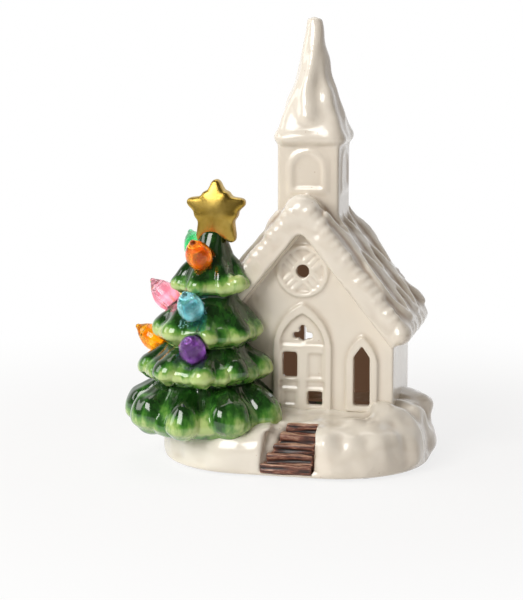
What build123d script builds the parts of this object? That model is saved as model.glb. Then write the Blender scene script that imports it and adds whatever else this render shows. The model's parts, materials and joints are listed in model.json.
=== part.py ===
from build123d import *

import os
from math import cos, pi, radians, sin, tan

# A lit ceramic village church with a glazed tree at its front left corner, in millimetres.
# While it is built, +Z is up, the front gable faces -Y and the church stands on X = Y = 0.
# At the end every piece moves so that the origin is the middle of the footprint, on the table.

# Church walls: a hollow casting, open below and under the roof
HOUSE_WIDTH = 82.0
HOUSE_DEPTH = 46.0
WALL = 3.5
SILL_Z = 22.0
EAVE_Z = 54.0
ROOF_PITCH = 51.0

# Roof: a thick slab of snow over a hollow
ROOF_THICK = 11.5
ROOF_SHELL = 5.5
EAVE_OVERHANG = 0.5
BARGE_OVERHANG = 8.0
ROOF_ROUND = 5.5
RIDGE_ROUND = 8.0
# Wavy rolls of snow down the slopes: neighbours sway opposite ways and dip under the surface at both ends
STRAND_LANES = 5
STRAND_POINTS = 9
STRAND_RADIUS = 3.0
STRAND_HEIGHT = 1.9
STRAND_DIP = 0.6
STRAND_SWAY = 2.3
STRAND_WAVE = 44.0
STRAND_TOP = 12.0
STRAND_EAVE_GAP = 4.0
STRAND_BARGE_GAP = 9.0

# Relief on the front gable
RELIEF = 1.5
FINE_RELIEF = 0.8
FRAME_BAND = 2.8
FRAME_POINT = 4.2
DOOR_WIDTH = 26.6
DOOR_SPRING_Z = 50.0
DOOR_APEX_Z = 71.0
DOOR_PANEL_WIDTH = 6.8
DOOR_PANEL_X = 5.7
UPPER_PANEL_LOW_Z = 37.5
UPPER_PANEL_HIGH_Z = 49.0
LOWER_PANEL_LOW_Z = 25.0
LOWER_PANEL_HIGH_Z = 31.5
PANEL_BORDER = 1.1
TREFOIL_Z = 56.6
TREFOIL_HEART = 2.4
TREFOIL_LOBE = 1.7
TREFOIL_RISE = 3.0
TREFOIL_TIP = 1.5
TREFOIL_SPREAD = 3.1
LANCET_INSET = 14.0
LANCET_WIDTH = 14.2
LANCET_SPRING_Z = 44.0
LANCET_APEX_Z = 57.5
LANCET_OPENING_WIDTH = 7.3
LANCET_OPENING_LOW_Z = 26.0
LANCET_SHOULDER_Z = 48.0
LANCET_POINT_Z = 53.0
OCULUS_BELOW_RIDGE = 19.0
OCULUS_RADIUS = 11.6
OCULUS_BAND = 1.7
OCULUS_HOLE = 2.8
OCULUS_BAR = 1.3
OCULUS_BAR_STEP = 2.7

# Rear window
REAR_WIDTH = 16.0
REAR_LOW_Z = 38.0
REAR_SPRING_Z = 52.0
REAR_APEX_Z = 66.0

# Steeple
TOWER_SIDE = 28.0
TOWER_Y = 1.0
TOWER_ROUND = 0.6
TOWER_STAND = 35.9
TOWER_ARCH_WIDTH = 18.0
TOWER_ARCH_BAND = 2.2
TOWER_ARCH_FOOT_DOWN = 19.0
TOWER_ARCH_SPRING_DOWN = 10.6
SPIRE_HEIGHT = 56.5
SPIRE_EAVE = 31.0
SPIRE_HOLLOW_LOW = 20.0
SPIRE_HOLLOW_HIGH = 6.0
SPIRE_HOLLOW_HEIGHT = 32.0
SPIRE_FOLD_RADIUS = 5.0
SPIRE_FOLD_PROUD = 1.3
# Share of the spire's height, share of its eave width, and corner rounding as a share of the side
SPIRE_PROFILE = [
    (0.0, 0.9, 0.12),
    (0.045, 1.0, 0.14),
    (0.11, 0.96, 0.14),
    (0.21, 0.87, 0.14),
    (0.36, 0.7, 0.16),
    (0.48, 0.56, 0.18),
    (0.64, 0.42, 0.24),
    (0.83, 0.27, 0.34),
    (0.94, 0.2, 0.44),
]
# Which rows of the profile the fold on each face runs between
SPIRE_FOLD_ROWS = (3, 7)

# Snow base: an oval casting with drifts, hollow, with a rebate underneath for the light unit
BASE_SPREAD_X = 39.0
BASE_SPREAD_Y = 53.0
BASE_FLAT = 15.0
BASE_X = -3.5
BASE_Y = -11.5
BASE_SHOULDER = 13.0
BASE_FOOT_ROUND = 2.5
BASE_WALL = 4.5
BASE_SIDE_WALL = 8.0
PAD_THICK = 1.0
PAD_RADIUS = 3.5
PAD_INSET_X = 24.5
PAD_INSET_Y = 14.0

# Drifts piled against the walls: which corner of the church each lies at (right or left, rear or front),
# how far from that corner its middle is in X and Y, its height and its radius
DRIFTS = [
    (1, 1, 0.5, -15.0, 20.5, 13.0),
    (1, -1, 2.0, 14.0, 15.0, 13.0),
    (1, -1, -2.0, -3.0, 14.5, 13.5),
    (1, -1, -3.5, -1.5, 21.8, 8.2),
    (1, -1, -17.0, -15.0, 11.5, 12.5),
    (1, 1, -3.0, 1.0, 15.0, 12.0),
    (1, 1, -35.0, 1.0, 14.0, 12.0),
    (-1, 1, 17.0, 0.0, 14.0, 13.0),
    (-1, 1, -6.0, -11.0, 14.0, 13.0),
]

# Plank steps from the door to the front edge
STEP_COUNT = 5
STEP_RISE = 3.7
STEP_RUN = 3.7
STEP_SINK = 0.6
STEP_PROUD = 0.3
STEP_TOP_TREAD = 3.5
STEP_RIGHT_X = 11.6
STEP_LEFT_X = -2.2
STEP_FLARE = 2.1

# Tree: four skirts on a trunk that leans a little towards the church
TREE_OUT_X = 2.0
TREE_OUT_Y = 9.0
TREE_LEAN = 0.052
TREE_TIP_Z = 105.5
TREE_HOLLOW_LOW = 12.5
TREE_HOLLOW_HIGH = 3.2
TREE_HOLLOW_LOW_Z = 17.0
TREE_HOLLOW_TOP_Z = 90.0
# Each skirt: bottom, rim height, reach of its lobes, rim radius, waist (radius, height),
# neck (radius, height), number of lobes, lobe radius and first lobe's bearing
TIERS = [
    (76.4, 6.5, 17.4, 15.0, (10.0, 90.0), (6.0, 102.5), 7, 4.3, 205.0),
    (54.6, 8.5, 24.8, 22.0, (15.5, 70.0), (9.5, 81.0), 8, 5.6, 190.0),
    (38.0, 8.0, 31.0, 28.0, (19.5, 51.5), (12.5, 60.0), 9, 6.0, 200.0),
    (17.0, 11.0, 36.0, 31.5, (22.5, 34.0), (17.0, 43.0), 9, 8.2, 185.0),
]
LOBE_TAPER = 0.3
LOBE_SWAY = 0.08
LOBE_PHASE = 2.3
LOBE_HANG = 0.4
LOBE_AIM = 0.5
LOBE_SINK = 2.5
NUB_RADIUS = 4.2
NUB_BEARING = -37.0
NUB_REACH = 16.5
NUB_Z = 82.5

# Star on the tree top
STAR_RADIUS = 17.2
STAR_WAIST = 7.6
STAR_TIP_ROUND = 2.0
STAR_NOTCH_ROUND = 2.4
STAR_THICK = 9.0
STAR_TIP_THICK = 3.4
STAR_POINTS = 5
STAR_SIDE = 6.2
STAR_FORWARD = 1.0
STAR_Z = 113.0

# Plastic bulbs: an onion-shaped body on a peg that pushes into the tree
BULB_RADIUS = 5.8
BULB_LENGTH = 16.5
BULB_BELLY = 6.2
BULB_COLLAR = 2.6
BULB_TIP = 1.3
# Handles of the bulb's two curves, as shares of its radius or tip and of its belly height or length
BULB_BASE_HANDLES = ((0.8, 0.1), (1.0, 0.45))
BULB_FLANK_HANDLES = ((0.97, 1.65), (2.2, 0.82))
PEG_RADIUS = 1.5
PEG_LENGTH = 5.0
PEG_CLEARANCE = 0.05
BULB_CLEARANCE = 0.7
BULB_LIFT = 4.0
# Each bulb: name, skirt it stands on, bearing round the trunk, tilt above the horizon,
# distance out from the waist
BULBS = [
    ("bulb_orange", 0, -100.0, 46.0, 0.0),
    ("bulb_green", 0, 133.0, 46.0, 0.0),
    ("bulb_teal", 1, -99.0, 46.0, 1.5),
    ("bulb_pink", 1, 180.0, 46.0, 0.5),
    ("bulb_yellow", 1, 128.0, 46.0, 1.5),
    ("bulb_purple", 2, -92.0, 38.0, 0.5),
    ("bulb_amber", 2, 178.0, 32.0, 0.5),
    ("bulb_red", 2, 132.0, 36.0, 0.5),
]

# Light unit in the rebate under the base
UNIT_WIDTH = 84.0
UNIT_DEPTH = 62.0
UNIT_CORNER = 8.0
UNIT_GAP = 0.4
UNIT_LEDGE = 5.0
PLATE_THICK = 2.5
PLATE_LIFT = 1.0
TAPE_THICK = 0.4
LEDGE_THICK = 4.0
TRAY_X = BASE_X - 8.0
TRAY_Y = BASE_Y + 4.0
TRAY_WALL = 1.2

# AAA cells
CELL_RADIUS = 5.25
CELL_LENGTH = 43.3
CELL_NUB_RADIUS = 1.9
CELL_NUB = 1.2
CELL_PITCH = 11.1
CELL_COUNT = 3
CELL_LIFT = 0.4
CONTACT_ROOM = 2.6
CONTACT_THICK = 0.4
CONTACT_SIDE = 8.0

# Battery door, hinged on two pins at its left end and screwed at its right end
DOOR_GAP = 0.3
DOOR_TONGUE = 7.0
DOOR_PIN_RADIUS = 0.7
DOOR_PIN_LENGTH = 2.0
DOOR_PIN_CLEARANCE = 0.05
GROOVE_COUNT = 3
GROOVE_WIDTH = 1.0
GROOVE_DEPTH = 0.6
GROOVE_STEP = 2.45
SCREW_RADIUS = 1.0
SCREW_HEAD = 1.9
SCREW_HEAD_HEIGHT = 1.0
SCREW_GRIP = 3.0
SCREW_PLAY = 0.5
SCREW_SLOT = 0.5
SCREW_SLOT_LENGTH = 2.3
SCREW_SLOT_DEPTH = 0.6
SCREW_CLEARANCE = 0.1
BOSS_WIDTH = 12.0
BOSS_HEIGHT = 5.5

# Slide switch
SWITCH_X = BASE_X + 32.0
SWITCH_LENGTH = 13.0
SWITCH_WIDTH = 7.0
SWITCH_HEIGHT = 5.5
SWITCH_WALL = 1.0
KNOB_LENGTH = 4.0
KNOB_WIDTH = 3.0
KNOB_DROP = 0.6
KNOB_GROOVE = 0.4
KNOB_GROOVE_DEPTH = 0.3
KNOB_TRAVEL = 3.6
KNOB_GAP = 0.2
KNOB_FOOT = 1.4
KNOB_FOOT_HEIGHT = 1.6

# Board and lamps
BOARD_LENGTH = 30.0
BOARD_WIDTH = 17.0
BOARD_THICK = 1.2
BOARD_X = TRAY_X + 3.0
BOARD_Y = TRAY_Y + 5.0
POST_HEIGHT = 2.0
POST_RADIUS = 1.6
POST_INSET = 2.4
CHIP_LENGTH = 6.0
CHIP_WIDTH = 4.0
CHIP_HEIGHT = 1.5
LED_RADIUS = 2.5
LED_FLANGE = 2.95
LED_FLANGE_HEIGHT = 1.0
LED_HEIGHT = 8.6
LED_LEAD = 0.25
LED_LEAD_STEP = 2.54
LED_LEAD_LENGTH = 2.4
SOCKET_FORWARD = 4.0
SOCKET_RADIUS = 5.0
SOCKET_FLANGE = 6.2
SOCKET_FLANGE_HEIGHT = 1.0
SOCKET_SINK = 0.8
WIRE_RADIUS = 0.55
WIRE_STEP = 1.6
WIRE_BEND = 1.4
WIRE_START_X = 6.0
WIRE_START_INSET = 1.5
WIRE_STAND = 4.5
WIRE_TURN_X = 10.0
WIRE_DROP_X = 12.0
WIRE_TRAY_GAP = 3.0
WIRE_RUN_LIFT = 2.0
WIRE_LEAD_GAP = 0.4

# How far a cut runs on past the face it opens, and how close counts as touching
CUT_PAST = 1.0
NEAR = 0.1
OVERSIZE = 400.0
# Share of a radius that a curve's handles reach to draw a quarter circle
ROUND_HANDLE = 0.55

# Heights, lengths and places that follow from the driving sizes
SLOPE = tan(radians(ROOF_PITCH))
RIDGE_Z = EAVE_Z + HOUSE_WIDTH / 2 * SLOPE
OCULUS_Z = RIDGE_Z - OCULUS_BELOW_RIDGE
LANCET_X = HOUSE_WIDTH / 2 - LANCET_INSET
TOWER_TOP_Z = RIDGE_Z + TOWER_STAND
TOWER_ARCH_LOW_Z = TOWER_TOP_Z - TOWER_ARCH_FOOT_DOWN
TOWER_ARCH_SPRING_Z = TOWER_TOP_Z - TOWER_ARCH_SPRING_DOWN
BASE_WIDTH = HOUSE_WIDTH + BASE_SPREAD_X
BASE_DEPTH = HOUSE_DEPTH + BASE_SPREAD_Y
BASE_CORNER = (min(BASE_WIDTH, BASE_DEPTH) - BASE_FLAT) / 2
STEP_TOP_Z = SILL_Z - STEP_SINK
STEP_FRONT_Y = BASE_Y - BASE_DEPTH / 2 - STEP_PROUD + (STEP_COUNT - 1) * STEP_RUN
STEP_BACK_Y = STEP_FRONT_Y + STEP_TOP_TREAD
TREE_X = -HOUSE_WIDTH / 2 - TREE_OUT_X
TREE_Y = -HOUSE_DEPTH / 2 - TREE_OUT_Y
STAR_X = TREE_X + STAR_SIDE
STAR_Y = TREE_Y - STAR_FORWARD
BULB_PULL = PEG_LENGTH + BULB_LIFT
SOCKET_X = TREE_X
SOCKET_Y = TREE_Y - SOCKET_FORWARD
ROOF_RISE = ROOF_THICK / cos(radians(ROOF_PITCH))
ROOF_SHELL_RISE = ROOF_SHELL / cos(radians(ROOF_PITCH))
ROOF_REACH = HOUSE_WIDTH / 2 + EAVE_OVERHANG
ROOF_OUT_X = ROOF_REACH + ROOF_THICK * sin(radians(ROOF_PITCH))
SLOPE_LENGTH = ROOF_OUT_X / cos(radians(ROOF_PITCH))
TOWER_FOOT_DOWN = (TOWER_SIDE / 2 + FINE_RELIEF) / cos(radians(ROOF_PITCH))
STRAND_STEP = (HOUSE_DEPTH + 2 * BARGE_OVERHANG - 2 * STRAND_BARGE_GAP) / (STRAND_LANES - 1)
FOOT_Z = PAD_THICK
PLATE_LOW_Z = FOOT_Z + PLATE_LIFT
PLATE_TOP_Z = PLATE_LOW_Z + PLATE_THICK
REBATE_Z = PLATE_TOP_Z + TAPE_THICK
HOLLOW_LOW_Z = REBATE_Z + LEDGE_THICK
HOLLOW_TOP_Z = SILL_Z - BASE_WALL
CELL_Z = PLATE_TOP_Z + CELL_LIFT + CELL_RADIUS
TRAY_INSIDE_LENGTH = CELL_LENGTH + CELL_NUB + 2 * CONTACT_ROOM
TRAY_INSIDE_WIDTH = CELL_COUNT * CELL_PITCH
TRAY_INSIDE_TOP_Z = CELL_Z + CELL_RADIUS + CELL_LIFT
TRAY_TOP_Z = TRAY_INSIDE_TOP_Z + TRAY_WALL
DOOR_LEFT_X = TRAY_X - TRAY_INSIDE_LENGTH / 2
DOOR_RIGHT_X = TRAY_X + TRAY_INSIDE_LENGTH / 2 + DOOR_TONGUE
DOOR_HINGE_X = DOOR_LEFT_X + DOOR_GAP + PLATE_THICK / 2
DOOR_HINGE_Z = PLATE_LOW_Z + PLATE_THICK / 2
DOOR_DEPTH = TRAY_INSIDE_WIDTH - 2 * DOOR_GAP
SCREW_X = DOOR_RIGHT_X - DOOR_TONGUE / 2
BOARD_LOW_Z = TRAY_TOP_Z + POST_HEIGHT
BOARD_TOP_Z = BOARD_LOW_Z + BOARD_THICK
HOUSE_LED_Z = BOARD_TOP_Z + LED_LEAD_LENGTH
SOCKET_TOP_Z = SILL_Z - SOCKET_SINK
FRONT = Plane(origin=(0, -HOUSE_DEPTH / 2, 0), x_dir=(1, 0, 0), z_dir=(0, -1, 0))
BACK = Plane(origin=(0, HOUSE_DEPTH / 2, 0), x_dir=(-1, 0, 0), z_dir=(0, 1, 0))


def tree_axis_x(z):
    """X of the leaning trunk at a height."""
    return TREE_X + TREE_LEAN * z


def pointed_arch(width, low, spring, apex):
    """A face with upright sides and two arcs that meet in a point, in a wall's own plane."""
    half = width / 2
    rise = apex - spring
    centre = (rise * rise - half * half) / width
    radius = centre + half
    middle_direction = (Vector(-radius, 0) + Vector(-centre, rise)).normalized()
    middle = Vector(centre, spring) + middle_direction * radius
    outline = Polyline((-half, spring), (-half, low), (half, low), (half, spring))
    left = ThreePointArc((-half, spring), (middle.X, middle.Y), (0, apex))
    right = ThreePointArc((half, spring), (-middle.X, middle.Y), (0, apex))
    return make_face(outline.edges() + left.edges() + right.edges())


def gable_face(half_width, low, drop):
    """The gable's outline below a line that lies a given height under the roof planes."""
    eave = RIDGE_Z - drop - half_width * SLOPE
    return make_face(
        Polyline(
            (-half_width, low), (half_width, low), (half_width, eave),
            (0, RIDGE_Z - drop), (-half_width, eave),
            close=True,
        )
    )


def along_y(face, low_y, high_y):
    """A face drawn in X and Z, extruded from one Y to another."""
    plane = Plane(origin=(0, high_y, 0), x_dir=(1, 0, 0), z_dir=(0, -1, 0))
    return extrude(plane * face, amount=high_y - low_y)


def church_envelope():
    """The space inside the outer faces of the walls, from the sill to the roof planes."""
    return along_y(gable_face(HOUSE_WIDTH / 2, SILL_Z, 0), -HOUSE_DEPTH / 2, HOUSE_DEPTH / 2)


def panel(x, low, high, width):
    """An upright rectangle on the front gable."""
    return Pos(x, (low + high) / 2) * Rectangle(width, high - low)


def border(x, low, high, width):
    """A raised border round a door panel."""
    outer = panel(x, low - PANEL_BORDER, high + PANEL_BORDER, width + 2 * PANEL_BORDER)
    return outer - panel(x, low, high, width)


def lancet_opening():
    """The cut of a lancet window: upright sides and a straight-sided point."""
    half = LANCET_OPENING_WIDTH / 2
    return make_face(
        Polyline(
            (-half, LANCET_OPENING_LOW_Z), (half, LANCET_OPENING_LOW_Z), (half, LANCET_SHOULDER_Z),
            (0, LANCET_POINT_Z), (-half, LANCET_SHOULDER_Z),
            close=True,
        )
    )


def trefoil():
    """A round heart with a lobe above and a smaller tip at each side."""
    lobes = Pos(0, TREFOIL_Z) * Circle(TREFOIL_HEART)
    lobes += Pos(0, TREFOIL_Z + TREFOIL_RISE) * Circle(TREFOIL_LOBE)
    for side in (-1, 1):
        lobes += Pos(side * TREFOIL_SPREAD, TREFOIL_Z) * Circle(TREFOIL_TIP)
    return lobes


def oculus_lattice():
    """Two crossed bands of three bars inside the round window's ring."""
    inside = Circle(OCULUS_RADIUS - OCULUS_BAND / 2)
    bars = Circle(OCULUS_HOLE + OCULUS_BAR)
    for turn in (45, -45):
        for k in (-1, 0, 1):
            bars += Rot(0, 0, turn) * Pos(0, k * OCULUS_BAR_STEP) * Rectangle(2 * OCULUS_RADIUS, OCULUS_BAR)
    return Pos(0, OCULUS_Z) * (bars & inside)


def front_relief():
    """Everything that stands proud of the front gable."""
    surround = pointed_arch(DOOR_WIDTH, SILL_Z, DOOR_SPRING_Z, DOOR_APEX_Z)
    inner_width = DOOR_WIDTH - 2 * FRAME_BAND
    surround -= pointed_arch(inner_width, SILL_Z - CUT_PAST, DOOR_SPRING_Z, DOOR_APEX_Z - FRAME_POINT)
    relief = extrude(FRONT * surround, amount=RELIEF)
    frame = pointed_arch(LANCET_WIDTH, SILL_Z + FRAME_BAND / 2, LANCET_SPRING_Z, LANCET_APEX_Z)
    relief += extrude(FRONT * Pos(LANCET_X, 0) * frame, amount=RELIEF)
    ring = Pos(0, OCULUS_Z) * (Circle(OCULUS_RADIUS) - Circle(OCULUS_RADIUS - OCULUS_BAND))
    relief += extrude(FRONT * ring, amount=(RELIEF + FINE_RELIEF) / 2)
    relief += extrude(FRONT * oculus_lattice(), amount=FINE_RELIEF)
    lintel = panel(0, DOOR_SPRING_Z + PANEL_BORDER, DOOR_SPRING_Z + 2 * PANEL_BORDER, inner_width)
    mullion = panel(0, SILL_Z, DOOR_SPRING_Z + PANEL_BORDER, FRAME_BAND)
    fine = lintel + mullion
    for side in (-1, 1):
        fine += border(side * DOOR_PANEL_X, UPPER_PANEL_LOW_Z, UPPER_PANEL_HIGH_Z, DOOR_PANEL_WIDTH)
        fine += border(side * DOOR_PANEL_X, LOWER_PANEL_LOW_Z, LOWER_PANEL_HIGH_Z, DOOR_PANEL_WIDTH)
    return relief + extrude(FRONT * fine, amount=FINE_RELIEF)


def front_openings():
    """The cuts through the front gable: door lights, trefoil, lancets and the round window."""
    cuts = panel(-DOOR_PANEL_X, UPPER_PANEL_LOW_Z, UPPER_PANEL_HIGH_Z, DOOR_PANEL_WIDTH)
    cuts += panel(DOOR_PANEL_X, LOWER_PANEL_LOW_Z, LOWER_PANEL_HIGH_Z, DOOR_PANEL_WIDTH)
    cuts += trefoil()
    cuts += Pos(0, OCULUS_Z) * Circle(OCULUS_HOLE)
    cuts += Pos(LANCET_X, 0) * lancet_opening()
    return extrude(FRONT * cuts, amount=WALL + RELIEF, both=True)


def church_walls():
    """Four walls with gabled ends, the front relief and the window cuts."""
    inside = Pos(0, 0, OVERSIZE / 4) * Box(HOUSE_WIDTH - 2 * WALL, HOUSE_DEPTH - 2 * WALL, OVERSIZE)
    rear = pointed_arch(REAR_WIDTH, REAR_LOW_Z, REAR_SPRING_Z, REAR_APEX_Z)
    rear_frame = pointed_arch(
        REAR_WIDTH + 2 * FRAME_BAND, REAR_LOW_Z - FRAME_BAND, REAR_SPRING_Z, REAR_APEX_Z + FRAME_POINT
    )
    walls = church_envelope() - inside
    walls += front_relief()
    walls += extrude(BACK * rear_frame, amount=RELIEF)
    walls -= front_openings()
    return walls - extrude(BACK * rear, amount=WALL + RELIEF, both=True)


def snow_strand(side, lane_y, sway):
    """One roll of snow down the right or left slope."""
    top = STRAND_TOP
    if abs(lane_y - TOWER_Y) < TOWER_SIDE / 2 + STRAND_RADIUS + STRAND_SWAY:
        top = TOWER_FOOT_DOWN + STRAND_RADIUS
    points = []
    for k in range(STRAND_POINTS):
        down = top + (SLOPE_LENGTH - STRAND_EAVE_GAP - top) * k / (STRAND_POINTS - 1)
        lift = STRAND_HEIGHT - STRAND_RADIUS
        if k in (0, STRAND_POINTS - 1):
            lift = -STRAND_RADIUS - STRAND_DIP
        x = down * cos(radians(ROOF_PITCH)) + lift * sin(radians(ROOF_PITCH))
        z = RIDGE_Z + ROOF_RISE - down * sin(radians(ROOF_PITCH)) + lift * cos(radians(ROOF_PITCH))
        points.append((side * x, lane_y + sway * sin(2 * pi * down / STRAND_WAVE), z))
    line = Spline(*points)
    return sweep(Plane(origin=line @ 0, z_dir=line % 0) * Circle(STRAND_RADIUS), path=line)


def snow_strands():
    """The rolls on both slopes, save where the tree stands against the roof."""
    strands = []
    tree_back = TREE_Y + TIERS[1][2] + STRAND_RADIUS + STRAND_SWAY
    for side in (-1, 1):
        for k in range(STRAND_LANES):
            lane_y = (k - (STRAND_LANES - 1) / 2) * STRAND_STEP
            if side > 0 or lane_y > tree_back:
                strands.append(snow_strand(side, lane_y, STRAND_SWAY if k % 2 else -STRAND_SWAY))
    return strands


def roof_envelope():
    """The roof's slab, with rounded ridge, eaves and barge edges, and the rolls of snow on it."""
    reach = ROOF_REACH
    out_x = ROOF_OUT_X
    low = RIDGE_Z - reach * SLOPE
    out_z = low + ROOF_THICK * cos(radians(ROOF_PITCH))
    section = make_face(
        Polyline(
            (0, RIDGE_Z), (reach, low), (out_x, out_z),
            (0, RIDGE_Z + ROOF_RISE), (-out_x, out_z), (-reach, low),
            close=True,
        )
    )
    half_depth = HOUSE_DEPTH / 2 + BARGE_OVERHANG
    slab = along_y(section, -half_depth, half_depth)
    slab = fillet(slab.edges().filter_by(Axis.Y).sort_by(Axis.Z)[-1:], RIDGE_ROUND)
    top = [f for f in slab.faces() if f.normal_at().Z > NEAR]
    rim = [e for f in top for e in f.edges()]
    ends = [e for e in rim if abs(e.center().Y) > half_depth - NEAR or abs(e.center().X) > reach]
    return fillet(ShapeList(ends), ROOF_ROUND) + snow_strands()


def snowy_roof(roof):
    """The slab, hollowed from below over the church's inside."""
    inside = gable_face(HOUSE_WIDTH / 2 - WALL, EAVE_Z, ROOF_SHELL_RISE - ROOF_RISE)
    return roof - along_y(inside, -HOUSE_DEPTH / 2 + WALL, HOUSE_DEPTH / 2 - WALL)


def tower_arch(side, low, spring):
    """A round-headed panel on a tower face."""
    return Pos(0, (low + spring) / 2) * Rectangle(side, spring - low) + Pos(0, spring) * Circle(side / 2)


def steeple_tower(roof):
    """A square shaft with an arched panel on each face, cut to sit astride the roof."""
    low = RIDGE_Z - TOWER_SIDE / 2 * SLOPE
    height = TOWER_TOP_Z - low
    at = Pos(0, TOWER_Y, low + height / 2)
    shaft = at * Box(TOWER_SIDE, TOWER_SIDE, height)
    shaft = fillet(shaft.edges().filter_by(Axis.Z), TOWER_ROUND)
    frame = tower_arch(TOWER_ARCH_WIDTH, TOWER_ARCH_LOW_Z - TOWER_ARCH_BAND, TOWER_ARCH_SPRING_Z)
    frame -= tower_arch(TOWER_ARCH_WIDTH - 2 * TOWER_ARCH_BAND, TOWER_ARCH_LOW_Z, TOWER_ARCH_SPRING_Z)
    for turn in (0, 90, 180, 270):
        face = Plane(origin=(0, -TOWER_SIDE / 2, 0), x_dir=(1, 0, 0), z_dir=(0, -1, 0))
        shaft += Pos(0, TOWER_Y, 0) * Rot(0, 0, turn) * extrude(face * frame, amount=FINE_RELIEF)
    shaft -= at * Box(TOWER_SIDE - 2 * WALL, TOWER_SIDE - 2 * WALL, 2 * height)
    shaft -= roof
    return max(shaft.solids(), key=lambda s: s.volume)


def steeple_spire():
    """A square spire with a flared, rounded eave, a soft tip and a fold down each face, hollow inside."""
    sections = []
    for height_share, side_share, round_share in SPIRE_PROFILE:
        side = SPIRE_EAVE * side_share
        z = TOWER_TOP_Z + SPIRE_HEIGHT * height_share
        sections.append(Pos(0, TOWER_Y, z) * RectangleRounded(side, side, side * round_share))
    spire = loft(sections, ruled=True)
    tip_radius = SPIRE_EAVE * SPIRE_PROFILE[-1][1] / 2
    tip_z = TOWER_TOP_Z + SPIRE_HEIGHT - tip_radius
    spire += Pos(0, TOWER_Y, tip_z) * Sphere(tip_radius)
    (low_share, low_side, _), (high_share, high_side, _) = [SPIRE_PROFILE[row] for row in SPIRE_FOLD_ROWS]
    low_out = SPIRE_EAVE * low_side / 2 + SPIRE_FOLD_PROUD - SPIRE_FOLD_RADIUS
    high_out = SPIRE_EAVE * high_side / 2 - LOBE_TAPER * SPIRE_FOLD_RADIUS
    foot = Vector(0, -low_out, TOWER_TOP_Z + SPIRE_HEIGHT * low_share)
    rise = Vector(0, -high_out, TOWER_TOP_Z + SPIRE_HEIGHT * high_share) - foot
    fold = Plane(origin=foot, z_dir=rise) * drop(SPIRE_FOLD_RADIUS, rise.length)
    for turn in (0, 90, 180, 270):
        spire += Pos(0, TOWER_Y, 0) * Rot(0, 0, turn) * fold
    mouth = Rectangle(SPIRE_HOLLOW_LOW, SPIRE_HOLLOW_LOW)
    top = Pos(0, 0, SPIRE_HOLLOW_HEIGHT) * Rectangle(SPIRE_HOLLOW_HIGH, SPIRE_HOLLOW_HIGH)
    return spire - Pos(0, TOWER_Y, TOWER_TOP_Z) * loft([mouth, top])


def unit_outline(inset):
    """The light unit's rounded outline, drawn in by a given amount."""
    return Pos(BASE_X, BASE_Y) * RectangleRounded(
        UNIT_WIDTH - 2 * inset, UNIT_DEPTH - 2 * inset, UNIT_CORNER - min(inset, UNIT_CORNER / 2)
    )


def block(outline, low, high):
    """A flat outline extruded from one height to another."""
    return Pos(0, 0, low) * extrude(outline, amount=high - low)


def base_envelope():
    """The outside of the snow base, drifts included, with the church's place taken out."""
    outline = Pos(BASE_X, BASE_Y) * RectangleRounded(BASE_WIDTH, BASE_DEPTH, BASE_CORNER)
    body = block(outline, FOOT_Z, SILL_Z)
    body = fillet(body.edges().group_by(Axis.Z)[-1], BASE_SHOULDER)
    body = fillet(body.edges().group_by(Axis.Z)[0], BASE_FOOT_ROUND)
    for side, end, out_x, out_y, z, radius in DRIFTS:
        at = Pos(side * HOUSE_WIDTH / 2 + out_x, end * HOUSE_DEPTH / 2 + out_y, z)
        body += at * Sphere(radius)
    below = Pos(0, 0, FOOT_Z - OVERSIZE / 2) * Box(OVERSIZE, OVERSIZE, OVERSIZE)
    return body - below - church_envelope() - front_relief()


def step_flight(room):
    """The flight of steps, with some headroom added above each tread."""
    flight = Part()
    for k in range(STEP_COUNT):
        top = STEP_TOP_Z - k * STEP_RISE
        front = STEP_FRONT_Y - k * STEP_RUN
        left = STEP_LEFT_X - k * STEP_FLARE
        tread = Pos((STEP_RIGHT_X + left) / 2, (STEP_BACK_Y + front) / 2)
        tread = tread * Rectangle(STEP_RIGHT_X - left, STEP_BACK_Y - front)
        flight += block(tread, top - STEP_RISE, top + room)
    return flight


def snow_base():
    """The base, hollowed save round the steps, with the unit's rebate, the lamp ways and the steps' place."""
    inner = RectangleRounded(
        BASE_WIDTH - 2 * BASE_SIDE_WALL, BASE_DEPTH - 2 * BASE_SIDE_WALL, BASE_CORNER - BASE_SIDE_WALL
    )
    base = base_envelope()
    base -= block(unit_outline(-UNIT_GAP), 0, REBATE_Z)
    base -= block(unit_outline(UNIT_LEDGE), 0, HOLLOW_LOW_Z)
    left = STEP_LEFT_X - (STEP_COUNT - 1) * STEP_FLARE - BASE_WALL
    right = STEP_RIGHT_X + BASE_WALL
    front = BASE_Y - BASE_DEPTH / 2
    back = STEP_BACK_Y + BASE_WALL
    kept = Pos((left + right) / 2, (front + back) / 2) * Rectangle(right - left, back - front)
    base -= block(Pos(BASE_X, BASE_Y) * inner - kept, HOLLOW_LOW_Z, HOLLOW_TOP_Z)
    base -= block(Rectangle(HOUSE_WIDTH - 4 * WALL, HOUSE_DEPTH - 4 * WALL), HOLLOW_LOW_Z, SILL_Z)
    base -= block(Pos(SOCKET_X, SOCKET_Y) * Circle(SOCKET_RADIUS), HOLLOW_LOW_Z, SILL_Z)
    return base - step_flight(BASE_SHOULDER)


def drop(radius, length):
    """A drop with a round lower end and a tapering tail that points up."""
    curve = radius * ROUND_HANDLE
    bowl = Bezier((0, -radius), (curve, -radius), (radius, -curve), (radius, 0))
    tail = Polyline((radius, 0), (LOBE_TAPER * radius, length), (0, length), (0, -radius))
    return revolve(Plane.XZ * make_face(bowl.edges() + tail.edges()), Axis.Z)


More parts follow.
